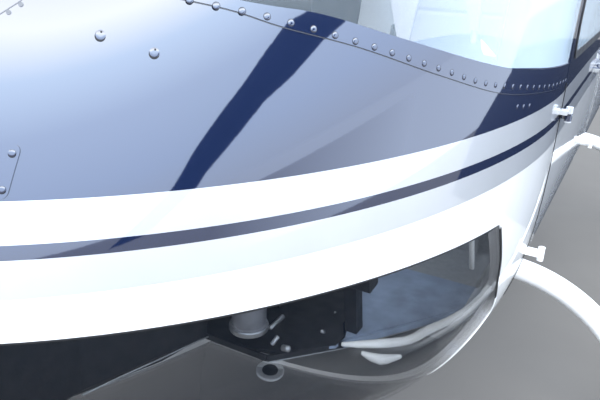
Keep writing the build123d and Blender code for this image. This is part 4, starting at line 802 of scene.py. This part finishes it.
# Small rods on the floor: both ends and the radius
SMALL_RODS = (
    ((0.274, 0.674, 0.660), (0.277, 0.715, 0.664), 0.0045),
    ((0.305, 0.630, 0.662), (0.309, 0.642, 0.672), 0.004),
    ((0.322, 0.640, 0.655), (0.334, 0.636, 0.660), 0.006),
    ((0.362, 0.716, 0.660), (0.364, 0.704, 0.668), 0.0035),
    ((0.345, 0.860, 0.660), (0.362, 0.838, 0.660), 0.0045),
    ((0.350, 0.788, 0.660), (0.352, 0.782, 0.663), 0.002),
)
for number, (start, stop, radius) in enumerate(SMALL_RODS):
    ends = placed((start, stop))
    tube(f"floor_fitting_{number + 1}", ends, radius, "bare_alloy", both=True, straight=True)
LINER_EDGE = ((0.300, 0.665), (0.392, 0.776), (0.470, 0.885), (0.555, 1.012), (0.560, 1.10), (0.277, 1.10),
              (0.280, 1.019), (0.300, 0.949), (0.348, 0.88), (0.364, 0.802), (0.384, 0.765), (0.380, 0.733))
plate("floor_liner", level(LINER_EDGE, SHADE_SHEET_TOP - 0.001), 0.006, "floor_blue", both=True)
FLOOR_LIP = ((0.0, 0.642), (0.289, 0.642), (0.385, 0.753), (0.596, 1.070))
LIP_DROP = Vector((0, 0, 0.012))
lip = [Vector(p) for p in level(FLOOR_LIP, SHADE_SHEET_TOP - 0.001)]
# The inner plates hang black below the floor's edge as painted shadow; the outboard one has the floor's
# colour
for number, (start, stop) in enumerate(zip(lip, lip[1:])):
    lip_colour_and_shade = "floor_blue" if number == 2 else "panel_black"
    outline = [start, stop, stop - LIP_DROP, start - LIP_DROP]
    plate(f"floor_lip_and_shade_{number + 1}", outline, 0.004, lip_colour_and_shade, both=True)
SIDE_ROD = ((0.600, 0.694, 0.915), (0.600, 0.729, 0.852))
tube("side_rod", placed(SIDE_ROD), 0.004, "white_duct", both=True, straight=True)
LIP_PATH = ((0.0935, 0.398), (0.1105, 0.463), (0.133, 0.537), (0.150, 0.598), (0.163, 0.640))
tube("compartment_lip", level(LIP_PATH, 0.622), 0.0016, "bare_alloy", both=True)

# Seen through the windshield: side deck and bracket
DECK_EDGE = ((0.326, 0.690), (0.326, 0.780), (0.415, 0.810), (0.426, 0.950), (0.440, 1.050), (0.461, 1.090),
             (0.500, 1.080), (0.545, 1.040), (0.600, 0.990), (0.636, 0.870), (0.624, 0.790), (0.606, 0.720),
             (0.572, 0.640), (0.470, 0.610))
plate("side_deck", level(DECK_EDGE, 1.150), 0.014, "deck_blue", both=True)
BRACKET = ((0.550, 0.80, 1.185), (0.553, 0.80, 1.172), (0.560, 0.80, 1.160), (0.590, 0.78, 1.148),
           (0.606, 0.76, 1.147), (0.578, 0.79, 1.163))
plate("corner_bracket", placed(BRACKET[::-1]), 0.003, "ring_white", both=True)

# Demister nozzles on their pipes behind the windshield: X, station and height of each corner and pipe end
NOZZLES = (
    (((0.224, 0.93, 1.150), (0.250, 0.93, 1.150), (0.254, 0.93, 1.225), (0.216, 0.93, 1.225)),
     ((0.237, 0.93, 1.155), (0.237, 0.91, 1.140), (0.237, 0.82, 1.140))),
    (((0.370, 0.93, 1.158), (0.392, 0.93, 1.158), (0.404, 0.93, 1.235), (0.348, 0.93, 1.235)),
     ((0.381, 0.93, 1.165), (0.385, 0.93, 1.143), (0.435, 0.93, 1.143))),
    (((0.497, 0.93, 1.185), (0.511, 0.93, 1.185), (0.510, 0.93, 1.240), (0.482, 0.93, 1.240)),
     ((0.504, 0.93, 1.190), (0.505, 0.93, 1.165), (0.505, 0.93, 1.143))),
)
PIPE_RADIUS = 0.005
for number, (corners, pipe) in enumerate(NOZZLES):
    plate(f"demister_nozzle_{number + 1}", placed(corners), 2 * PIPE_RADIUS, "duct_cloth", both=True)
    centre = [(x, y + PIPE_RADIUS, z) for x, y, z in placed(pipe)]
    tube(f"demister_pipe_{number + 1}", centre, PIPE_RADIUS, "duct_cloth", 0.006, 10, both=True)

# Shoulder belt from the side deck up to the door frame: X, station and height along its two edges
BELT_EDGES = (((0.557, 0.975, 1.140), (0.587, 0.975, 1.140)), ((0.583, 0.985, 1.238), (0.616, 0.985, 1.238)),
              ((0.606, 1.000, 1.310), (0.640, 1.000, 1.310)))
for number, ((a, b), (c, d)) in enumerate(zip(BELT_EDGES, BELT_EDGES[1:])):
    plate(f"shoulder_belt_{number + 1}", placed((a, b, d, c)), 0.002, "belt_webbing", both=True)


# The rest of the aircraft

def hits_round(node, station, height, start, stop, count, reach=1.5):
    """Places on a node's outside round a station, looked for from afar.

    Angles go from starboard over the top."""
    tree = BVHTree.FromObject(nodes[node], bpy.context.evaluated_depsgraph_get())
    middle = Vector((0, along(station), height))
    found = []
    for k in range(count):
        a = math.radians(start + (stop - start) * k / max(count - 1, 1))
        way = Vector((-math.cos(a), 0, math.sin(a)))
        spot, normal, *_ = tree.ray_cast(middle + way * reach, -way)
        if spot is not None:
            found.append((spot, normal))
    return found


def hits_along(node, start, stop, way, count):
    """Places where rays from a line of points along one way meet a node."""
    tree = BVHTree.FromObject(nodes[node], bpy.context.evaluated_depsgraph_get())
    found = []
    for k in range(count):
        source = Vector(start).lerp(Vector(stop), k / max(count - 1, 1))
        spot, normal, *_ = tree.ray_cast(source, Vector(way))
        if spot is not None:
            found.append((spot, normal))
    return found


# Middle line of the tail boom: where it starts, how high, and its climb with each metre aft
BOOM_STATION = 4.6
BOOM_HEIGHT = 1.62
BOOM_SLOPE = 0.0317


def boom_height(station):
    """The height of the tail boom's middle at a station."""
    return BOOM_HEIGHT + (station - BOOM_STATION) * BOOM_SLOPE


# Rivets, studs and other small turned shapes: radius and height pairs
SMALL_RIVET = ((0.0045, -0.0008), (0.0042, 0.0006), (0.0024, 0.0012), (0.0005, 0.0013))
COWL_STUD = ((0.0075, -0.001), (0.0072, 0.0012), (0.0052, 0.0018), (0.0008, 0.0016))

boom_rivets = []
for station in (4.640, 4.700, 5.560, 5.600, 6.440, 6.480, 7.040, 7.080, 7.980, 8.020, 8.900, 8.940):
    boom_rivets += hits_round("tail_boom", station, boom_height(station), -68, 248, 44)
marks("boom_rivets", boom_rivets, SMALL_RIVET, "livery")
for word, angle in (("right", -30), ("left", 210)):
    a = math.radians(angle)
    way = Vector((-math.cos(a), 0, math.sin(a)))
    line = [Vector((0, along(station), boom_height(station))) + way for station in (4.74, 8.86)]
    marks(f"boom_seam_rivets_{word}", hits_along("tail_boom", *line, -way, 90), SMALL_RIVET, "livery")

STUD_ROWS = (("gearbox_fairing", 1.86, 1.96, 9), ("gearbox_fairing", 3.125, 2.06, 15),
             ("engine_cowling", 3.178, 2.06, 15), ("engine_cowling", 4.50, 1.86, 9))
cowl_studs = []
for node, station, height, count in STUD_ROWS:
    cowl_studs += hits_round(node, station, height, 4, 176, count)
marks("cowling_studs", cowl_studs, COWL_STUD, "bare_alloy", 14)
seam_rivets = []
for station in (3.120, 4.570):
    seam_rivets += hits_round("aft_fuselage", station, 1.30, -60, 30, 34)
    seam_rivets += hits_round("aft_fuselage", station, 1.30, 150, 240, 34)
marks("fuselage_rivets", seam_rivets, SMALL_RIVET, "livery")

# Seals round the door windows: station and height of each corner, with its radius
CREW_WINDOW = ((1.016, 1.150), (1.016, 1.210), (1.310, 1.800), (1.730, 1.800), (1.730, 1.150))
CABIN_WINDOW = ((1.932, 1.150), (1.932, 1.800), (2.670, 1.800), (2.670, 1.150))
for door, corners, radii in (("crew", CREW_WINDOW, (0.025, 0.06, 0.06, 0.06, 0.06)),
                             ("cabin", CABIN_WINDOW, (0.06, 0.06, 0.07, 0.07))):
    loop = rounded_loop(corners, radii, 8)
    loop = densify(loop / SKIN_SCALE, 0.03) * SKIN_SCALE
    loop = np.vstack((loop, loop[:1]))
    seal = turns(loop)
    for word, side in (("left", 1), ("right", -1)):
        band_on_skin(f"{door}_window_seal_{word}", seal, 0.014, 0.0016, "black_rubber", 0.002, (side,),
                     f"{door}_door_{word}_leaf")

# Instruments: X, height and radius of each dial, and where its needle points
DIALS = ((-0.262, 1.188, 0.038, 210), (-0.172, 1.188, 0.038, 300), (-0.082, 1.188, 0.038, 75),
         (0.262, 1.188, 0.038, 150), (0.172, 1.188, 0.038, 20), (0.082, 1.188, 0.038, 250),
         (0.0, 1.200, 0.026, 120), (0.0, 1.140, 0.026, 330), (-0.290, 1.100, 0.026, 40),
         (-0.225, 1.100, 0.026, 100), (-0.160, 1.100, 0.026, 200), (-0.095, 1.100, 0.026, 260),
         (0.095, 1.100, 0.026, 310), (0.160, 1.100, 0.026, 60), (0.225, 1.100, 0.026, 170),
         (0.290, 1.100, 0.026, 230))
FACE_OUT = Vector((0, 0.975, -0.223))
FACE_UP = Vector((0, 0.223, 0.975))
FACE_ACROSS = Vector((1, 0, 0))
# The panel's foot, and how far its face leans aft with each metre up
PANEL_STATION = 0.800
PANEL_FOOT = 1.010
PANEL_LEAN = 0.055 / 0.240


def on_panel(x, height, lift=0.0):
    """A point on the instrument panel's face, which leans aft."""
    return Vector((x, along(PANEL_STATION + PANEL_LEAN * (height - PANEL_FOOT)), height)) + FACE_OUT * lift


def small_boxes(name, boxes, finish):
    """Thin boxes, each given by its middle and its three half sides."""
    points, faces = [], []
    for middle, a, b, c in boxes:
        base = len(points)
        points += [middle + a * i + b * j + c * k for k in (-1, 1) for j in (-1, 1) for i in (-1, 1)]
        quads = ((0, 2, 3, 1), (4, 5, 7, 6), (0, 1, 5, 4), (2, 6, 7, 3), (0, 4, 6, 2), (1, 3, 7, 5))
        turned_out = a.cross(b).dot(c) > 0
        faces += [[base + i for i in (quad if turned_out else quad[::-1])] for quad in quads]
    make_piece(name, points, faces, finish, crease=30)


def on_dial(degrees):
    """A direction on the panel's face, from starboard round by the top."""
    a = math.radians(degrees)
    return FACE_ACROSS * math.cos(a) + FACE_UP * math.sin(a)


# Bezel and face of a dial: shares of its radius, and heights
BEZEL = ((1.12, -0.001), (1.12, 0.005), (1.04, 0.007), (0.97, 0.006), (0.95, 0.0025), (0.05, 0.0025))
# Scale marks of a dial: where the first is, how far apart they are, and their length every second time
FIRST_TICK = 225
TICK_STEP = 27
TICK_COUNT = 11
TICK_LENGTHS = (0.16, 0.10)


def make_dials():
    """Bezels, faces, scale marks and needles of the instruments, all sized by each dial's radius."""
    ticks, needles = [], []
    for number, (x, height, radius, aim) in enumerate(DIALS):
        bezel = [(radius * share, rise) for share, rise in BEZEL]
        turned(f"dial_bezel_{number + 1}", on_panel(x, height), FACE_OUT, bezel, "dial_black")
        for k in range(TICK_COUNT):
            way = on_dial(FIRST_TICK - TICK_STEP * k) * radius
            long = TICK_LENGTHS[k % 2]
            ticks.append((on_panel(x, height, 0.0032) + way * (0.86 - long / 2), way * long / 2,
                          FACE_OUT.cross(way) * 0.018, FACE_OUT * 0.0003))
        way = on_dial(aim) * radius
        needles.append((on_panel(x, height, 0.0044) + way * 0.28, way * 0.44,
                        FACE_OUT.cross(way) * 0.035, FACE_OUT * 0.0004))
    small_boxes("dial_marks", ticks, "dial_white")
    small_boxes("dial_needles", needles, "dial_white")


make_dials()

# Four radios down the pedestal's sloping top, each with a window and two knobs.
# The top's front, as station and height, and how far it runs aft and drops
PEDESTAL_FRONT = (0.910, 0.900)
PEDESTAL_RUN = 0.320
PEDESTAL_DROP = 0.070
slope = Vector((0, PEDESTAL_RUN, -PEDESTAL_DROP)).normalized()
rise = Vector((0, PEDESTAL_DROP, PEDESTAL_RUN)).normalized()
pedestal_boxes, knob_spots, window_boxes = [], [], []
for step in range(4):
    share = 0.18 + 0.20 * step
    station, height = PEDESTAL_FRONT[0] + PEDESTAL_RUN * share, PEDESTAL_FRONT[1] - PEDESTAL_DROP * share
    middle = Vector((0, along(station), height + 0.003))
    pedestal_boxes.append((middle, FACE_ACROSS * 0.078, slope * 0.028, rise * 0.004))
    window_boxes.append((middle + rise * 0.0045, FACE_ACROSS * 0.030, slope * 0.010, rise * 0.0006))
    knob_spots += [(middle + FACE_ACROSS * x + rise * 0.003, rise) for x in (-0.060, 0.060)]
small_boxes("radio_boxes", pedestal_boxes, "dial_black")
small_boxes("radio_windows", window_boxes, "screen_green")
KNOB = ((0.009, 0.0), (0.0085, 0.012), (0.0070, 0.014), (0.001, 0.014))
marks("radio_knobs", knob_spots, KNOB, "panel_black", 16)

# Lamps, antennas and the air data tube
BEACON_LENS = ((0.024, 0.0), (0.024, 0.012), (0.021, 0.026), (0.013, 0.035), (0.003, 0.038))
BEACON_FOOT = ((0.028, -0.004), (0.028, 0.006), (0.025, 0.008))
LAMP_FOOT = ((0.026, -0.004), (0.026, 0.003), (0.022, 0.005))
LAMP_LENS = ((0.021, 0.0), (0.020, 0.010), (0.014, 0.020), (0.003, 0.024))
LAMP_PLACE = (6.66, 1.650)
for word, side, lens in (("left", 1, "lamp_red"), ("right", -1, "lamp_green")):
    foot, spot = placed(((side * 0.984, *LAMP_PLACE), (side * 0.987, *LAMP_PLACE)))
    turned(f"side_lamp_foot_{word}", foot, (side, 0, 0), LAMP_FOOT, "bare_alloy")
    turned(f"side_lamp_{word}", spot, (side, 0, 0), LAMP_LENS, lens)
turned("beacon_foot", (-0.158, along(9.33), 2.697), UPRIGHT, BEACON_FOOT, "bare_alloy")
turned("beacon", (-0.158, along(9.33), 2.703), UPRIGHT, BEACON_LENS, "lamp_red")
AIR_TUBE = ((0, 0.03, 0.925), (0, -0.07, 0.922), (0, -0.17, 0.925))
tube("air_data_tube", placed(AIR_TUBE), (0.011, 0.009, 0.006), "bare_alloy")
ANTENNA_THICKNESS = 0.010
for number, (station, tall) in enumerate(((3.62, 0.15), (5.30, 0.19))):
    node = "aft_fuselage" if station < BOOM_STATION else "tail_boom"
    foot, _ = hits_along(node, (0, along(station), 0.1), (0, along(station), 0.1), (0, 0, 1), 1)[0]
    corners = ((0.045, -tall), (0.085, -tall), (0.055, 0.012), (-0.055, 0.012))
    outline = [foot + Vector((ANTENNA_THICKNESS / 2, y, z)) for y, z in corners]
    plate(f"blade_antenna_{number + 1}", outline, ANTENNA_THICKNESS, "white_paint")

# Soft goods
# How far a pad's body stays inside its outline and below its crown, its edge radius and its grain
PAD_INSET = 0.005
PAD_CROWN = 0.014
PAD_ROUND = 0.020
PAD_VOXEL = 0.008
# The cloth run: pressure, frames, and the most a point may move
PAD_PRESSURE = 4
PAD_FRAMES = 20
PAD_SWELL = 0.012
# How far the border channel and the piping lie inside the outline
PAD_BORDER = 0.042
PIPING_INSET = 0.004


def settle(piece):
    """Apply a piece's modifiers."""
    ready = piece.evaluated_get(bpy.context.evaluated_depsgraph_get())
    mesh = bpy.data.meshes.new_from_object(ready)
    old = piece.data
    piece.modifiers.clear()
    piece.data = mesh
    bpy.data.meshes.remove(old)


def padded_form(width, length, thick, front_drop):
    """A stuffed cushion that lies on its back, as an object: X across, Y along, Z up from its flat foot."""
    shape = bmesh.new()
    bmesh.ops.create_cube(shape, size=1.0)
    core = thick - PAD_CROWN
    bmesh.ops.scale(shape, vec=(width - 2 * PAD_INSET, length - 2 * PAD_INSET, core), verts=shape.verts)
    bmesh.ops.translate(shape, vec=(0, length / 2, core / 2), verts=shape.verts)
    for vert in shape.verts:
        if vert.co.z > thick / 2 and vert.co.y < length / 2:
            vert.co.z -= front_drop
    bmesh.ops.bevel(shape, geom=list(shape.edges), offset=PAD_ROUND, segments=4, profile=0.5, affect="EDGES")
    mesh = bpy.data.meshes.new("pad")
    shape.to_mesh(mesh)
    shape.free()
    pad = add_object("pad", mesh)
    remesh = pad.modifiers.new("remesh", "REMESH")
    remesh.mode = "VOXEL"
    remesh.voxel_size = PAD_VOXEL
    settle(pad)
    before = np.array([tuple(v.co) for v in pad.data.vertices])
    cloth = pad.modifiers.new("cloth", "CLOTH")
    cloth.settings.quality = 4
    cloth.settings.use_pressure = True
    cloth.settings.uniform_pressure_force = PAD_PRESSURE
    cloth.settings.effector_weights.gravity = 0
    cloth.point_cache.frame_start = 1
    cloth.point_cache.frame_end = PAD_FRAMES
    for step in range(1, PAD_FRAMES + 1):
        bpy.context.scene.frame_set(step)
    settle(pad)
    bpy.context.scene.frame_set(1)
    after = np.array([tuple(v.co) for v in pad.data.vertices])
    move = after - before
    reach = np.linalg.norm(move, axis=1, keepdims=True)
    after = before + move * np.minimum(1, PAD_SWELL / np.maximum(reach, 1e-9))
    after[:, 2] = np.maximum(after[:, 2], 0.0)
    pad.data.vertices.foreach_set("co", after.ravel())
    finer = pad.modifiers.new("finer", "SUBSURF")
    finer.levels = 1
    settle(pad)
    return pad


def sew(pad, lines, depth=0.0055, width=0.0045):
    """Sewn channels pressed into a cushion's top. Each line is two points given by X and Y."""
    spots = np.array([tuple(v.co) for v in pad.data.vertices])
    facing = np.array([tuple(v.normal) for v in pad.data.vertices])[:, 2]
    press = np.zeros(len(spots))
    for start, end in lines:
        start, end = np.array(start), np.array(end)
        run = end - start
        share = np.clip(((spots[:, :2] - start) @ run) / (run @ run), 0, 1)
        gap = np.linalg.norm(spots[:, :2] - (start + share[:, None] * run), axis=1)
        press = np.maximum(press, np.exp(-((gap / width) ** 2)))
    spots[:, 2] -= depth * press * np.clip(facing * 2, 0, 1)
    pad.data.vertices.foreach_set("co", spots.ravel())


def channel_lines(width, length, rows):
    """A border line and cross lines for a cushion's top."""
    x, near, far = width / 2 - PAD_BORDER, PAD_BORDER, length - PAD_BORDER
    border = [((-x, near), (x, near)), ((x, near), (x, far)), ((x, far), (-x, far)), ((-x, far), (-x, near))]
    crossings = [near + (far - near) * k / rows for k in range(1, rows)]
    return border + [((-x, y), (x, y)) for y in crossings]


def piping_path(width, length, height):
    """A rounded rectangle just inside a cushion's outline."""
    x, near, far = width / 2 - PIPING_INSET, PIPING_INSET, length - PIPING_INSET
    loop = rounded_loop(((-x, near), (x, near), (x, far), (-x, far)), (0.03,) * 4, 10)
    return [(a, b, height) for a, b in densify(loop / SKIN_SCALE, 0.02) * SKIN_SCALE]


FRONT_SEATS = (-0.30, 0.30)
REAR_SEATS = (-0.36, 0.0, 0.36)
# Cushions: name, width, length, thickness, drop of the front edge, channel rows, foot, lean, each X and the
# node they stand for
CUSHIONS = (
    ("front_seat_pad", 0.370, 0.287, 0.088, 0.008, 3, (1.279, 0.8615), -4.8, FRONT_SEATS, "front_cushions"),
    ("front_back_pad", 0.370, 0.646, 0.084, 0.0, 6, (1.6485, 0.8325), 82.1, FRONT_SEATS, "front_cushions"),
    ("rear_seat_pad", 0.346, 0.300, 0.088, 0.008, 3, (2.220, 0.8615), -4.4, REAR_SEATS, "rear_cushions"),
    ("rear_back_pad", 0.346, 0.646, 0.088, 0.0, 6, (2.6185, 0.8325), 79.5, REAR_SEATS, "rear_cushions"),
)


def make_cushions():
    """Every seat's stuffed pads with their channels and piping."""
    for name, width, length, thick, drop, rows, (station, height), lean, middles, node in CUSHIONS:
        pad = padded_form(width, length, thick, drop)
        sew(pad, channel_lines(width, length, rows))
        tree = BVHTree.FromObject(pad, bpy.context.evaluated_depsgraph_get())
        edge = [tree.find_nearest(Vector(spot))[0] for spot in piping_path(width, length, thick * 0.86)]
        edge = [tuple(spot) for spot in [*edge, edge[0], edge[1]]]
        tilt = Matrix.Rotation(math.radians(lean), 4, "X")
        for number, middle in enumerate(middles):
            place = Matrix.Translation((middle, along(station), height)) @ tilt
            mesh = pad.data.copy()
            mesh.transform(place)
            mesh.materials.clear()
            mesh.materials.append(FINISH["seat_cloth"])
            mesh.polygons.foreach_set("use_smooth", [True] * len(mesh.polygons))
            cushion = add_object(f"{name}_{number + 1}", mesh)
            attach(cushion, "airframe")
            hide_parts(node)
            line = [place @ Vector(spot) for spot in edge]
            tube(f"{name}_piping_{number + 1}", line, 0.0032, "seat_piping", spacing=0.01, slices=8)
        bpy.data.objects.remove(pad)


make_cushions()

# Stage, light and camera

def paint_stage():
    """A plain pale floor."""
    bpy.ops.mesh.primitive_plane_add(size=160, location=(0, 0, 0))
    floor = bpy.context.object
    floor.name = "floor"
    material = surface_material("pale_floor", (0.140, 0.135, 0.130), 0.9, 0.0, 3.0, 0.0, 0.03)
    material.node_tree.nodes["Principled BSDF"].inputs["Specular IOR Level"].default_value = 0.0
    floor.data.materials.append(material)


def hang_card(name, corners, colour):
    """A card that shows only in reflections. Corners are given by X, station and height."""
    mesh = bpy.data.meshes.new(name)
    mesh.from_pydata(placed(corners), [], [list(range(len(corners)))])
    material, tree, shader = new_material(name, colour, 1.0)
    shader.inputs["Specular IOR Level"].default_value = 0.0
    mesh.materials.append(material)
    card = add_object(name, mesh)
    for ray in ("camera", "diffuse", "transmission", "shadow"):
        setattr(card, f"visible_{ray}", False)
    return tree, shader


# Dark cards: one stands to port of the nose and one lies ahead of it
SIDE_CARD = ((5, -0.28, 3.16), (5, -0.69, 3.22), (5, -1.05, 2.98), (5, -1.43, 2.67), (5, -1.84, 2.40),
             (5, -2.25, 2.07), (5, -2.68, 1.55), (5, -4.34, 0.72), (5, -3.25, 0.83), (5, -2.09, 1.37),
             (5, -1.95, 1.53), (5, -1.45, 1.83), (5, -0.92, 2.17), (5, -0.43, 2.30), (5, 0.05, 2.53),
             (5, 0.52, 2.63))
GROUND_CARD = ((0.2, 3.0, 0.02), (3.2, 2.6, 0.02), (5.1, 4.63, 0.02), (7.5, 7.8, 0.02), (12.5, 14.0, 0.02),
               (0.2, 14.0, 0.02))
# Pale card to port: its corners, its light, and the stations between which it fades in
HAZE_CARD = ((5.02, -1.8, 0.03), (5.02, 4.6, 0.03), (5.02, 5.8, 0.5), (5.02, 6.6, 1.25), (5.02, -1.8, 1.25))
HAZE_COLOUR = (0.62, 0.72, 0.89, 1)
HAZE_STRENGTH = 2.4
HAZE_START = -1.6
HAZE_END = 2.2


def hang_haze():
    """A pale card to port that fades in towards the tail."""
    tree, shader = hang_card("haze_card", HAZE_CARD, (0, 0, 0))
    feed(tree, shader, {
        "Emission Color": HAZE_COLOUR,
        "Emission Strength": HAZE_STRENGTH,
        "Alpha": spread(tree, coordinate(tree, "Y"), 0, 1, along(HAZE_START), along(HAZE_END)),
    })


# Sky: the light at each share of the way from the horizon to straight up
SKY_STRENGTH = 5.0
SKY = ((0.0, (1.35, 1.55, 1.9)), (0.17, (1.5, 1.85, 2.5)), (0.37, (1.8, 2.2, 2.9)), (0.52, (2.6, 3.2, 4.0)),
       (0.63, (4.6, 4.8, 4.9)), (0.72, (4.0, 4.2, 4.4)), (1.0, (1.6, 1.8, 2.0)))


def light_world():
    """Soft light whose brightness climbs from the horizon to a broad bright band."""
    world = bpy.data.worlds.new("studio")
    bpy.context.scene.world = world
    world.use_nodes = True
    tree = world.node_tree
    share = spread(tree, coordinate(tree, "Z", "Generated"), 0, 1, 0.0, 1.0)
    stops = [(stop, [c / SKY_STRENGTH for c in colour]) for stop, colour in SKY]
    sky = stepped(tree, share, stops, "LINEAR")
    feed(tree, tree.nodes["Background"], {"Color": sky, "Strength": SKY_STRENGTH})


def hang_key_light():
    """A broad soft lamp ahead of the nose, not seen in reflections."""
    lamp = bpy.data.lights.new("key", "SUN")
    lamp.energy = 3.4
    lamp.angle = math.radians(50)
    lamp.color = (1.0, 0.99, 0.97)
    key = add_object("key", lamp)
    key.rotation_euler = Vector((0.35, -1.0, 0.8)).to_track_quat("Z", "Y").to_euler()
    key.visible_glossy = False


def aim_camera():
    """The photograph's viewpoint."""
    data = bpy.data.cameras.new("camera")
    data.sensor_width = 36.0
    data.lens = CAMERA_LENS
    data.clip_start = 0.02
    camera = add_object("camera", data)
    yaw, dive, roll = (math.radians(a) for a in (CAMERA_YAW, CAMERA_DIVE, CAMERA_ROLL))
    ahead = Vector((math.sin(yaw) * math.cos(dive), math.cos(yaw) * math.cos(dive), -math.sin(dive)))
    across = Vector((math.cos(yaw), -math.sin(yaw), 0))
    over = across.cross(ahead)
    right = across * math.cos(roll) + over * math.sin(roll)
    up = over * math.cos(roll) - across * math.sin(roll)
    turn = Matrix((right, up, -ahead)).transposed().to_4x4()
    camera.matrix_world = Matrix.Translation(CAMERA_PLACE) @ turn
    bpy.context.scene.camera = camera


paint_stage()
hang_haze()
hang_card("side_card", SIDE_CARD, (0.004, 0.006, 0.012))
hang_card("ground_card", GROUND_CARD, (0.012, 0.014, 0.02))
light_world()
hang_key_light()
aim_camera()
bpy.context.scene.view_settings.view_transform = "Standard"
